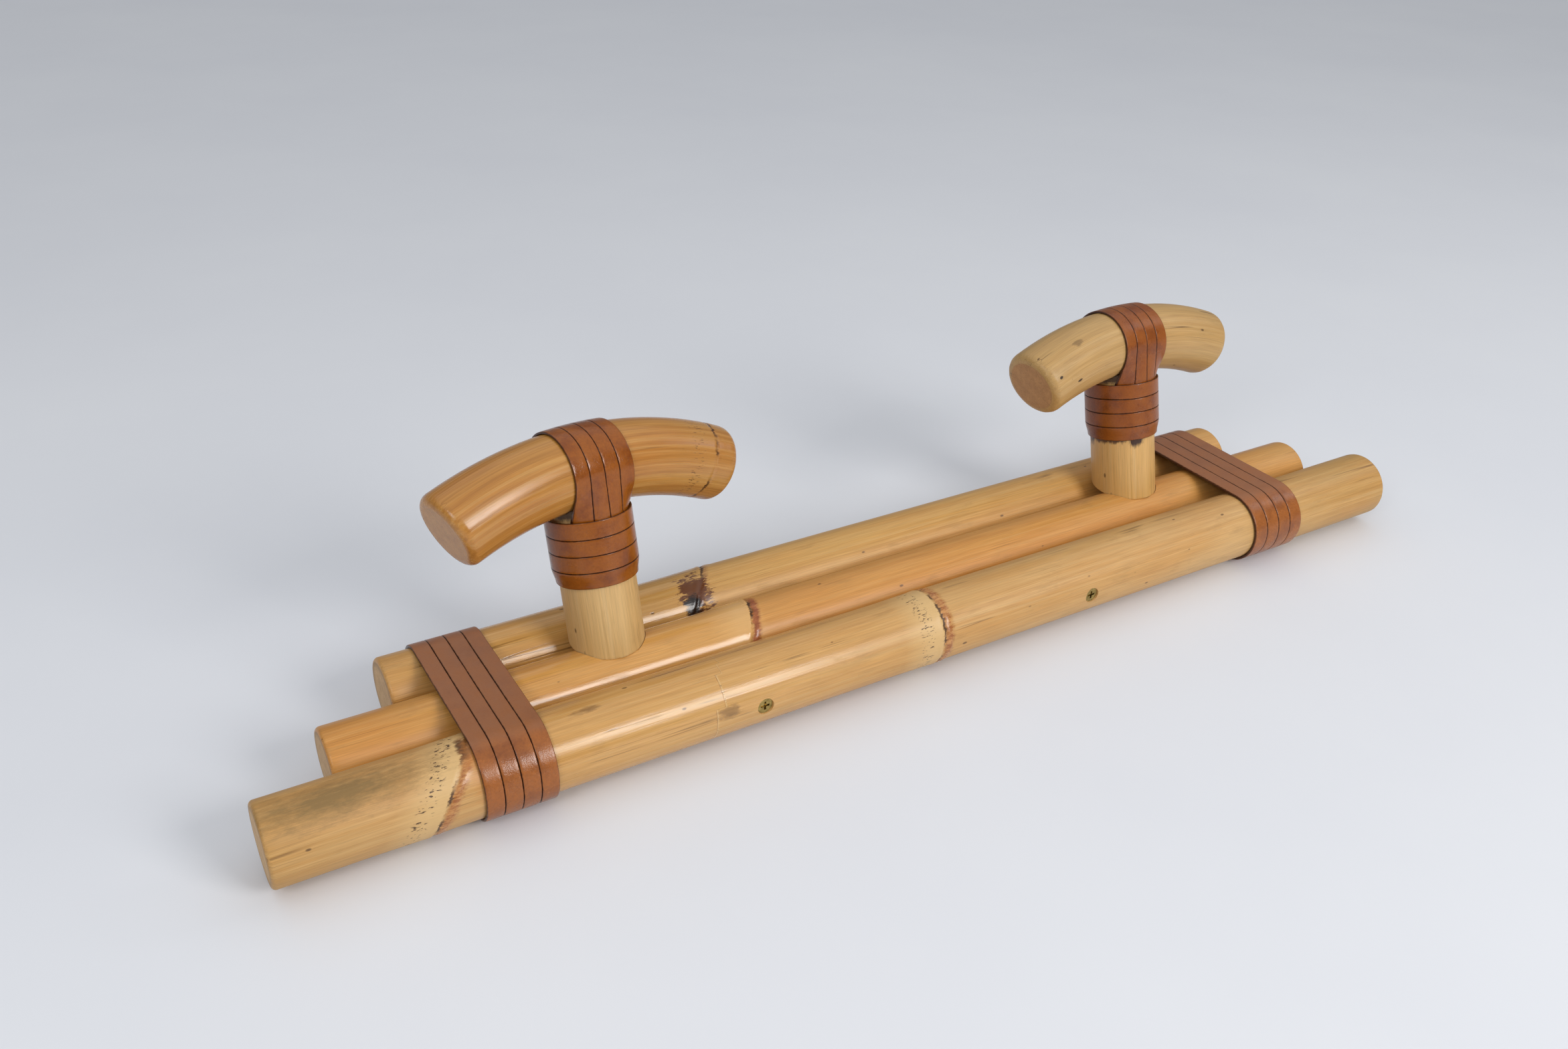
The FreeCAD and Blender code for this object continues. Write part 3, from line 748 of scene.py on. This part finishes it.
# painted shade: a dark patch painted on the post in the gap between its top and the bar, where shadow
# falls
postTopGapShade = {"at": (0.0695, -160), "size": (0.0042, 0.0300), "ragged": 1.2,
          "core": 0.6, "strength": 0.9, "colour": srgb(54, 30, 18), "roughness": 0.6}
leftPostLook = {
    **canePlain, "span": (-0.006, 0.075), "radius": 0.0184, "spots": [postTopGapShade],
    "tints": [(-0.006, srgb(211, 174, 114)), (0.075, srgb(217, 179, 122))],
    "warm": srgb(205, 160, 96), "warmShare": 0.4, "pale": srgb(225, 193, 142), "paleShare": 0.4,
    "dark": srgb(183, 141, 85), "darkShare": 0.3, "checks": 0.3, "speckSize": 0.2,
    "polish": [(-0.006, 0.46), (0.075, 0.46)], "relief": 0.35,
}
rightPostLook = {
    **leftPostLook,
    "tints": [(-0.006, srgb(213, 168, 99)), (0.075, srgb(219, 175, 111))], "checks": 0.5, "relief": 0.5,
    "polish": [(-0.006, 0.33), (0.075, 0.33)],
    "spots": [
        # painted shade under the lowest collar ring
        {"at": (collarFoot, -112), "size": (0.0056, 0.0062), "ragged": 1.3,
         "core": 0.6, "strength": 0.97, "colour": srgb(52, 26, 20), "roughness": 0.35},
        {"at": (collarFoot, -168), "size": (0.0028, 0.0180), "ragged": 2.0,
         "core": 0.5, "strength": 0.9, "colour": srgb(74, 38, 24), "roughness": 0.4},
        {"at": (collarFoot, 150), "size": (0.0066, 0.0060), "ragged": 1.6,
         "core": 0.5, "strength": 0.85, "colour": srgb(66, 36, 28), "roughness": 0.4},
        {"at": (collarFoot, 60), "size": (0.0026, 0.0200), "ragged": 2.2,
         "core": 0.5, "strength": 0.8, "colour": srgb(84, 42, 28), "roughness": 0.4},
        # the painted shade in the gap under the bar, as on the left post
        postTopGapShade,
    ],
}
buildPost(leftPeg, "leftPost", caneMaterial("leftPostCane", leftPostLook))
buildPost(rightPeg, "rightPost", caneMaterial("rightPostCane", rightPostLook))
print("posts built")


# bars: turned straight with rounded ends, then bent along their arc

def buildBar(peg, name, material, rings):
    radius = pegs["barRadius"]
    low, high = [math.radians(angle) * pegs["arcRadius"] for angle in peg["barAngles"]]
    stations = poleStations({"low": low, "high": high}, rings, [])
    bm = lathe(roundedRod(low, high, radius, pegs["endRound"], stations), roundSteps)
    grainLayer, depthLayer, ringLayer = caneLayers(bm)
    for vert in bm.verts:
        straight = vert.co.copy()
        angle = math.degrees(math.atan2(straight.z, straight.y))
        height = skinHeight(rings, peg["x"] * 50, straight.x, angle)
        fromEnd = min(straight.x - low, high - straight.x)
        vert[grainLayer] = straight
        if fromEnd < pegs["endRound"] + 0.0001:
            vert[depthLayer] = radius - math.hypot(straight.y, straight.z)
        vert[ringLayer] = nearestRing(rings, straight.x, angle)
        scale = 1 + min(height, 0.00015) / radius
        turn = straight.x / pegs["arcRadius"]
        reach = pegs["arcRadius"] + straight.z * scale
        vert.co.x = peg["barShift"] + reach * math.sin(turn)
        vert.co.y = straight.y * scale
        vert.co.z = pegs["barRise"] - pegs["arcRadius"] + reach * math.cos(turn)
    placed(bm, peg["matrix"])
    finishPiece(bm, name, material, "peg_bar_" + peg["side"])


leftBarLook = {
    **canePlain, "span": (-0.067, 0.08), "radius": 0.019,
    "tints": [(-0.067, srgb(185, 128, 59)), (0.0065, srgb(189, 135, 65)), (0.08, srgb(187, 137, 71))],
    "warm": srgb(173, 104, 37), "warmShare": 0.6, "pale": srgb(205, 159, 93), "paleShare": 0.5,
    "dark": srgb(142, 86, 33), "darkShare": 0.6, "checks": 0.3, "relief": 0.7, "dirt": 0.2,
    "polish": [(-0.067, 0.2), (0.08, 0.22)],
    "nodePale": 0.1, "dashes": 0.5, "scarShare": 0.9, "ringShare": 0.2, "ringWidth": 0.003,
    "ring": srgb(140, 83, 35), "rim": srgb(152, 96, 41), "rimShare": 0.2, "sawnFrom": 0.0042,
    "endPale": srgb(193, 139, 73), "endDark": srgb(171, 117, 55), "endRoughness": 0.34,
}
rightBarLook = {
    **canePlain, "span": (-0.067, 0.08), "radius": 0.019,
    "tints": [(-0.067, srgb(191, 152, 93)), (0.0065, srgb(193, 155, 99)), (0.08, srgb(190, 154, 97))],
    "warm": srgb(186, 138, 75), "warmShare": 0.4, "pale": srgb(208, 175, 124), "paleShare": 0.35,
    "dark": srgb(164, 123, 72), "darkShare": 0.35, "checks": 0.8, "speckSize": 0.22, "specks": 0.85,
    "polish": [(-0.067, 0.4), (0.08, 0.38)], "relief": 0.3,
    "rim": srgb(110, 71, 35), "rimShare": 0.5, "sawnFrom": 0.0040,
    "endPale": srgb(190, 140, 82), "endDark": srgb(169, 120, 66), "endRoughness": 0.42,
    "spots": [
        {"at": (-0.0610, 167), "size": (0.0015, 0.0010), "ragged": 0.6, "core": 0.6,
         "strength": 0.95, "colour": srgb(36, 20, 12), "roughness": 0.7},
        {"at": (-0.0490, 192), "size": (0.0024, 0.0009), "ragged": 0.8, "core": 0.6,
         "strength": 0.95, "colour": srgb(46, 22, 12), "roughness": 0.7},
        {"at": (-0.0400, 134), "size": (0.0040, 0.0020), "ragged": 2.8, "core": 0.6,
         "strength": 0.6, "colour": srgb(112, 84, 50), "roughness": 0.6},
        {"at": (0.0640, 117), "size": (0.0085, 0.0006), "ragged": 1.0, "core": 0.5,
         "strength": 0.85, "colour": srgb(74, 50, 30), "roughness": 0.6},
    ],
}
leftBarRings = [{"x": 0.0725, "skew": 0.0015, "turn": 90, "swell": 0.00005, "ridge": 0.0001,
                 "scar": 0.00025}]
buildBar(leftPeg, "leftBar", caneMaterial("leftBarCane", leftBarLook), leftBarRings)
buildBar(rightPeg, "rightBar", caneMaterial("rightBarCane", rightBarLook), [])
print("bars built")


# leather: a flat strap with rounded edges is made first, then every point is wrapped on its path

def flatStrap(length, width, thickness, cuts, edge):
    # along X from 0 to length, across Y from -width / 2 to width / 2, up Z from 0 to thickness
    bm = bmesh.new()
    bmesh.ops.create_cube(bm, size=1)
    placed(bm, Matrix.Diagonal((length, width, thickness, 1)))
    placed(bm, Matrix.Translation((length / 2, 0, thickness / 2)))
    corners = [e for e in bm.edges if abs(e.verts[0].co.x - e.verts[1].co.x) > length / 2]
    bmesh.ops.bevel(bm, geom=corners, offset=edge, offset_type="OFFSET", segments=3, profile=0.5,
                    affect="EDGES", material=-1)
    wide = [e for e in bm.edges if abs(e.verts[0].co.y - e.verts[1].co.y) > width / 2]
    bmesh.ops.subdivide_edges(bm, edges=wide, cuts=6, use_grid_fill=True)
    long = [e for e in bm.edges if abs(e.verts[0].co.x - e.verts[1].co.x) > length / 2]
    bmesh.ops.subdivide_edges(bm, edges=long, cuts=cuts, use_grid_fill=True)
    return bm


def buildStrap(side, kind, number, leather, sizes, route):
    # path(along, across, height) gives a place in the rack's frame and how flat the leather lies there
    width, thickness, cuts, edge = sizes
    length, path = route
    bm = flatStrap(length, width, thickness, cuts, edge)
    strapLayer = bm.verts.layers.float_vector.new("strap")
    flatLayer = bm.verts.layers.float.new("lying")
    for vert in bm.verts:
        along, across, height = vert.co
        vert[strapLayer] = (along, 2 * across / width, height / thickness)
        vert.co, vert[flatLayer] = path(along, across, height)
    bmesh.ops.recalc_face_normals(bm, faces=bm.faces)
    name = "%s%sStrip%d" % (side, kind, number)
    finishPiece(bm, name, leather, "%s_strip_%s_%d" % (kind.lower(), side, number))


def leatherMaterial(name, look):
    material, tree = newMaterial(name)
    place = objectPlace(tree)
    strap = addNode(tree, "SeparateXYZ", {0: attribute(tree, "strap", "Vector")})
    lying = attribute(tree, "lying", "Fac")
    across = maths(tree, "ABSOLUTE", strap.outputs[1])

    blotch = noiseOn(tree, place, (70, 70, 70), 4, 0.6)
    fine = noiseOn(tree, place, (900, 900, 900), 3, 0.6)
    cells = cellsOn(tree, place, 1500.0)
    colour = blend(tree, remap(tree, blotch, 0.35, 0.68), look["base"], look["warm"])
    colour = blend(tree, remap(tree, blotch, 0.52, 0.3, 0.0, 0.6), colour, look["deep"])
    colour = blend(tree, 1.0, colour, remap(tree, fine, 0.25, 0.75, 0.84, 1.12), "MULTIPLY")
    streaks = noiseOn(tree, attribute(tree, "strap", "Vector"), (60, 9, 1), 3, 0.6)
    colour = blend(tree, remap(tree, streaks, 0.55, 0.75, 0.0, 0.35), colour, look["deep"])

    # where the leather lies flat and faces up: a paler, greyer colour, partly dust and partly painted
    # sheen of the top, and a rougher finish from dust and rubbing
    dustAndSheenField = remap(tree, noiseOn(tree, place, (160, 160, 160), 5, 0.7), 0.25, 0.7, 0.55, 1.0)
    dustAndTopSheen = times(tree, times(tree, lying, dustAndSheenField), look["dustAndSheenShare"])
    colour = blend(tree, dustAndTopSheen, colour, look["dustAndTopSheen"])

    # burnished dark edges; the cut sides also darken towards the inner face, partly their raw-edge colour,
    # partly painted shade in the gaps between strips
    uneven = remap(tree, noiseOn(tree, place, (500, 500, 500), 3), 0.3, 0.7, -0.035, 0.035)
    edge = remap(tree, plus(tree, across, uneven), look["edgeFrom"], 0.985, 0.0, look["edgeShare"])
    colour = blend(tree, edge, colour, look["edge"])
    # painted shade deepening down the strip sides towards the pole, over their darker raw-edge colour
    under = remap(tree, strap.outputs[2], 0.75, 0.3, 0.0, 0.9)
    colour = blend(tree, under, colour, look["edge"])
    nicks = remap(tree, noiseOn(tree, place, (420, 420, 420), 6, 0.8), 0.66, 0.74, 0.0, 0.5)
    colour = blend(tree, nicks, colour, look["nick"])

    roughness = remap(tree, blotch, 0.3, 0.7, look["polish"] - 0.05, look["polish"] + 0.1)
    roughness = plus(tree, roughness, times(tree, dustAndTopSheen, look["dustRoughness"]))
    roughness = plus(tree, roughness, times(tree, nicks, 0.25))

    pebble = remap(tree, cells["Distance"], 0.0, 0.6)
    creases = noiseOn(tree, place, (260, 260, 260), 4, 0.65)
    height = plus(tree, times(tree, pebble, 0.35), times(tree, fine, 0.45))
    height = plus(tree, height, times(tree, creases, 1.1))
    relief = reliefFrom(tree, height, look["relief"], 0.00014)
    finishMaterial(tree, {"Base Color": colour, "Roughness": roughness, "IOR": 1.48, "Normal": relief})
    return material


bindingLook = {
    "base": srgb(152, 88, 38), "warm": srgb(160, 92, 34), "deep": srgb(118, 62, 28),
    # the dust colour is partly dust and partly a painted sheen on the leather's upper side
    "dustAndTopSheen": srgb(150, 101, 70), "dustAndSheenShare": 0.85, "dustRoughness": 0.24,
    "edge": srgb(62, 32, 18), "edgeFrom": 0.90, "edgeShare": 0.85, "nick": srgb(178, 132, 92),
    "polish": 0.24, "relief": 0.5,
}
leftPegLeatherLook = {
    **bindingLook, "base": srgb(142, 74, 12), "warm": srgb(152, 84, 16), "deep": srgb(104, 48, 10),
    "dustAndTopSheen": srgb(144, 90, 42), "dustAndSheenShare": 0.25, "polish": 0.18,
}
rightPegLeatherLook = {
    **leftPegLeatherLook, "base": srgb(138, 70, 14), "warm": srgb(148, 80, 18), "deep": srgb(98, 46, 14),
    "polish": 0.26,
}
bindingLeather = leatherMaterial("bindingLeather", bindingLook)
leftPegLeather = leatherMaterial("leftPegLeather", leftPegLeatherLook)
rightPegLeather = leatherMaterial("rightPegLeather", rightPegLeatherLook)

binding = {"fit": 0.00005, "thickness": 0.0016, "buttGap": 0.0004, "edge": 0.00045, "cuts": 230}


def bindingPath(stripLow, stripHigh, seed):
    # a loop round the front and the rear pole, starting at the butt seam under the middle pole
    front, rear = frontPlace, rearPlace
    dy = rear["y"] - front["y"]
    dz = rear["z"] - front["z"]
    span = math.hypot(dy, dz)
    tangent = math.atan2(dz, dy) + math.acos((front["radius"] - rear["radius"]) / span)
    middle = binding["fit"] + binding["thickness"] / 2
    under1 = middlePlace["y"] - front["y"] - binding["buttGap"] / 2
    arc1 = (1.5 * math.pi - tangent) * (front["radius"] + middle)
    top = math.sqrt(span ** 2 - (front["radius"] - rear["radius"]) ** 2)
    arc2 = (tangent + math.pi / 2) * (rear["radius"] + middle)
    under2 = rear["y"] - middlePlace["y"] - binding["buttGap"] / 2
    length = under1 + arc1 + top + arc2 + under2
    x = (stripLow + stripHigh) / 2

    def onCircle(circle, turn, offset):
        reach = circle["radius"] + offset
        return circle["y"] + reach * math.cos(turn), circle["z"] + reach * math.sin(turn)

    def path(along, across, height):
        offset = binding["fit"] + height * (1 - 0.05 * drift(along * 60, seed, 0) ** 2)
        wander = 0.00007 * drift(along * 70, seed, 4)
        lying = 0.0
        if along < under1:
            y = middlePlace["y"] - binding["buttGap"] / 2 - along
            z = front["z"] - front["radius"] - offset
        elif along < under1 + arc1:
            turn = 1.5 * math.pi - (along - under1) / arc1 * (1.5 * math.pi - tangent)
            y, z = onCircle(front, turn, offset)
            lying = ease(math.radians(118), math.radians(98), turn)
        elif along < under1 + arc1 + top:
            share = (along - under1 - arc1) / top
            first = onCircle(front, tangent, offset)
            last = onCircle(rear, tangent, offset)
            y = first[0] + (last[0] - first[0]) * share
            z = first[1] + (last[1] - first[1]) * share
            lying = 1.0
        elif along < length - under2:
            share = (along - under1 - arc1 - top) / arc2
            turn = tangent - share * (tangent + math.pi / 2)
            y, z = onCircle(rear, turn, offset)
            lying = ease(math.radians(50), math.radians(75), turn)
        else:
            y = rear["y"] - (along - (length - under2))
            z = rear["z"] - rear["radius"] - offset
        return Vector((x + across + wander, y, z)), lying

    return length, path


for side, seed in (("left", 20), ("right", 50)):
    for number in range(1, 5):
        low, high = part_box("binding_strip_%s_%d" % (side, number))
        sizes = (high.x - low.x, binding["thickness"], binding["cuts"], binding["edge"])
        route = bindingPath(low.x, high.x, number * 3.1 + seed)
        buildStrap(side, "Binding", number, bindingLeather, sizes, route)
print("bindings built")


def saddleCurve(peg, x, offset):
    # one surface of the saddle at x: half width of the foot, heights, and the arc over the bar
    halfWidth = math.sqrt((pegs["postRadius"] + offset) ** 2 - x * x)
    slope = math.asin((x - peg["barShift"]) / pegs["arcRadius"])
    radius = (pegs["barRadius"] + offset) / math.cos(slope)
    centre = barHeight(peg, x)
    bend = pegs["collarTop"]
    reach = math.hypot(halfWidth, centre - bend)
    touch = math.atan2(bend - centre, halfWidth) + math.acos(radius / reach)
    pitch = pegs["collarWidth"] + pegs["gap"]
    foot = bend - (pegs["strips"] - 1) * pitch + pegs["saddleTuck"]
    return halfWidth, foot, bend, centre, radius, touch


def saddlePath(peg, middle, seed):
    halfWidth, foot, bend, centre, radius, touch = saddleCurve(peg, 0, pegs["leatherFit"])
    arc = (math.pi / 2 - touch) * radius
    slant = math.hypot(radius * math.cos(touch) - halfWidth, centre + radius * math.sin(touch) - bend)
    leg = bend - foot
    length = 2 * (arc + slant + leg)

    def path(along, across, height):
        wander = 0.00006 * drift(along * 90, seed, 2)
        x = middle + across + wander
        offset = pegs["leatherFit"] + height
        halfX, footX, bendX, centreX, radiusX, touchX = saddleCurve(peg, x, offset)
        side = -1 if along < length / 2 else 1
        reach = abs(along - length / 2)
        lying = 0.0
        if reach < arc:
            turn = math.pi / 2 - (math.pi / 2 - touchX) * reach / arc
            y = radiusX * math.cos(turn)
            z = centreX + radiusX * math.sin(turn)
            lying = ease(1.1, 1.45, turn)
        elif reach < arc + slant:
            share = (reach - arc) / slant
            y = radiusX * math.cos(touchX) * (1 - share) + halfX * share
            z = (centreX + radiusX * math.sin(touchX)) * (1 - share) + bendX * share
        else:
            share = (reach - arc - slant) / leg
            y = halfX
            z = bendX + (footX - bendX) * share
        return peg["matrix"] @ Vector((x, side * y, z)), lying

    return length, path


def collarPath(peg, index, seed):
    # one ring of the collar, open by the butt gap at the back; the lowest ring hugs the post
    pitch = pegs["collarWidth"] + pegs["gap"]
    top = pegs["collarTop"] - index * pitch
    inner = pegs["postRadius"] + 2 * pegs["leatherFit"] + pegs["leather"]
    hug = pegs["leather"] + pegs["leatherFit"] if index == pegs["strips"] - 1 else 0.0
    length = 2 * math.pi * inner - binding["buttGap"]
    width = pegs["collarWidth"]

    def seam(number, turn):
        sway = drift(math.cos(turn) * 0.8, math.sin(turn) * 0.8, number * 2.3 + seed)
        return 0.00035 * (sway - 0.6) * (number > 0)

    def path(along, across, height):
        turn = math.pi / 2 + (along + binding["buttGap"] / 2) / inner
        share = 0.5 - across / width
        upper = top + seam(index, turn)
        lower = top - width + seam(index + 1, turn)
        z = upper + (lower - upper) * share
        radius = inner - hug * ease(0.0, 1.0, share) + height
        place = Vector((radius * math.cos(turn), radius * math.sin(turn), z))
        return peg["matrix"] @ place, 0.25

    return length, path


for peg, leather in ((leftPeg, leftPegLeather), (rightPeg, rightPegLeather)):
    pitch = pegs["saddleWidth"] + pegs["gap"]
    sizes = (pegs["saddleWidth"], pegs["leather"], pegs["saddleCuts"], pegs["leatherEdge"])
    for index in range(pegs["strips"]):
        middle = (index - (pegs["strips"] - 1) / 2) * pitch
        route = saddlePath(peg, middle, index + peg["x"] * 100)
        buildStrap(peg["side"], "Saddle", index + 1, leather, sizes, route)
    sizes = (pegs["collarWidth"], pegs["leather"], pegs["collarCuts"], pegs["leatherEdge"])
    for index in range(pegs["strips"]):
        route = collarPath(peg, index, peg["x"] * 70)
        buildStrap(peg["side"], "Collar", index + 1, leather, sizes, route)
print("peg leather built")


# metal parts keep their own shapes and get worn finishes

def metalMaterial(name, look):
    material, tree = newMaterial(name)
    place = objectPlace(tree)
    cloud = noiseOn(tree, place, (320, 320, 320), 5, 0.7)
    scratch = noiseOn(tree, place, (300, 4200, 3000), 3, 0.6)
    colour = blend(tree, remap(tree, cloud, 0.38, 0.68), look["bright"], look["dull"])
    tarnishField = noiseOn(tree, place, (900, 900, 900), 4, 0.75)
    tarnish = remap(tree, tarnishField, 0.55, 0.7, 0.0, look["tarnishShare"])
    colour = blend(tree, tarnish, colour, look["tarnish"])
    roughness = remap(tree, cloud, 0.3, 0.7, look["polish"], look["polish"] + 0.2)
    roughness = plus(tree, roughness, times(tree, tarnish, 0.3))
    relief = reliefFrom(tree, scratch, 0.3, 0.00004)
    finishMaterial(tree, {"Base Color": colour, "Roughness": roughness, "Metallic": 1.0, "Normal": relief})
    return material


brass = metalMaterial("brassScrews", {
    "bright": srgb(186, 160, 96), "dull": srgb(128, 110, 62), "tarnish": srgb(66, 58, 34),
    "tarnishShare": 0.6, "polish": 0.28,
})
steel = metalMaterial("steelScrews", {
    "bright": srgb(190, 190, 186), "dull": srgb(140, 140, 138), "tarnish": srgb(92, 80, 68),
    "tarnishShare": 0.4, "polish": 0.3,
})
zinc = metalMaterial("zincHangers", {
    "bright": srgb(206, 200, 182), "dull": srgb(160, 156, 146), "tarnish": srgb(104, 92, 78),
    "tarnishShare": 0.35, "polish": 0.34,
})
finishes = {
    "front_pole_screws": brass, "rear_pole_screws": brass,
    "peg_base_screws": steel, "peg_top_screws": steel, "hanger_screws": steel,
    "hanger_plate_left": zinc, "hanger_plate_right": zinc,
    "binding_tacks_left": steel, "binding_tacks_right": steel,
}
for node, material in finishes.items():
    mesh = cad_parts[node].data
    mesh.materials.clear()
    mesh.materials.append(material)
print("metal finished")


# floor, lights and camera

def floorMaterial(look):
    material, tree = newMaterial("paleFloor")
    place = objectPlace(tree)
    cloud = noiseOn(tree, place, (3, 3, 3), 4, 0.6)
    colour = blend(tree, remap(tree, cloud, 0.3, 0.7), look["light"], look["shade"])
    finishMaterial(tree, {"Base Color": colour, "Roughness": look["roughness"]})
    return material


floorLook = {"light": srgb(232, 234, 238), "shade": srgb(228, 230, 235), "roughness": 0.45, "size": 12.0}
skyLook = {"colour": srgb(236, 240, 248), "strength": 0.22}
sunLook = {"colour": (0.97, 0.985, 1.0), "strength": 1.2, "spread": 110}
bm = bmesh.new()
bmesh.ops.create_grid(bm, x_segments=1, y_segments=1, size=floorLook["size"] / 2)
floor = sceneObject("floor", meshFrom(bm, "floor"))
floor.data.materials.append(floorMaterial(floorLook))
floor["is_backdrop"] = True

world = bpy.data.worlds.new("studio")
world.use_nodes = True
world.node_tree.nodes["Background"].inputs["Color"].default_value = skyLook["colour"]
world.node_tree.nodes["Background"].inputs["Strength"].default_value = skyLook["strength"]
scene.world = world

sunData = bpy.data.lights.new("overheadFill", "SUN")
sunData.energy = sunLook["strength"]
sunData.angle = math.radians(sunLook["spread"])
sunData.color = sunLook["colour"]
sun = bpy.data.objects.new("overheadFill", sunData)
scene.collection.objects.link(sun)

lamps = {
    "frontSoftbox": {"place": (0.62, -1.66, 1.05), "aim": (-0.10, 0, 0.03), "size": (0.70, 0.75),
                     "power": 21.0, "colour": (1.0, 0.98, 0.96)},
    "leftSoftbox": {"place": (-1.30, -0.75, 1.05), "aim": (0, 0, 0.05), "size": (0.5, 0.5),
                    "power": 5.0, "colour": (0.97, 0.98, 1.0)},
    "rightSoftbox": {"place": (1.45, -0.25, 0.95), "aim": (0, 0, 0.05), "size": (0.4, 0.4),
                     "power": 1.0, "colour": (0.98, 0.99, 1.0)},
}


def pointAt(place, aim):
    return (Vector(aim) - Vector(place)).to_track_quat("-Z", "Y").to_euler()


for name, lamp in lamps.items():
    data = bpy.data.lights.new(name, "AREA")
    data.shape = "RECTANGLE"
    data.size, data.size_y = lamp["size"]
    data.energy = lamp["power"]
    data.color = lamp["colour"]
    light = bpy.data.objects.new(name, data)
    light.location = lamp["place"]
    light.rotation_euler = pointAt(lamp["place"], lamp["aim"])
    scene.collection.objects.link(light)

cameraLook = {"place": (-0.36574, -0.48792, 0.41565), "yaw": 31.566, "pitch": 30.379, "roll": 1.993,
              "lens": 31.04}
cameraData = bpy.data.cameras.new("camera")
cameraData.sensor_fit = "HORIZONTAL"
cameraData.sensor_width = 36
cameraData.lens = cameraLook["lens"]
cameraData.clip_start = 0.01
camera = bpy.data.objects.new("camera", cameraData)
turn = turned(-cameraLook["yaw"], "Z")
tilt = turned(90 - cameraLook["pitch"], "X")
lean = turned(cameraLook["roll"], "Z")
camera.matrix_world = Matrix.Translation(cameraLook["place"]) @ turn @ tilt @ lean
scene.collection.objects.link(camera)
scene.camera = camera
print("stage set")

low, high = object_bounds()
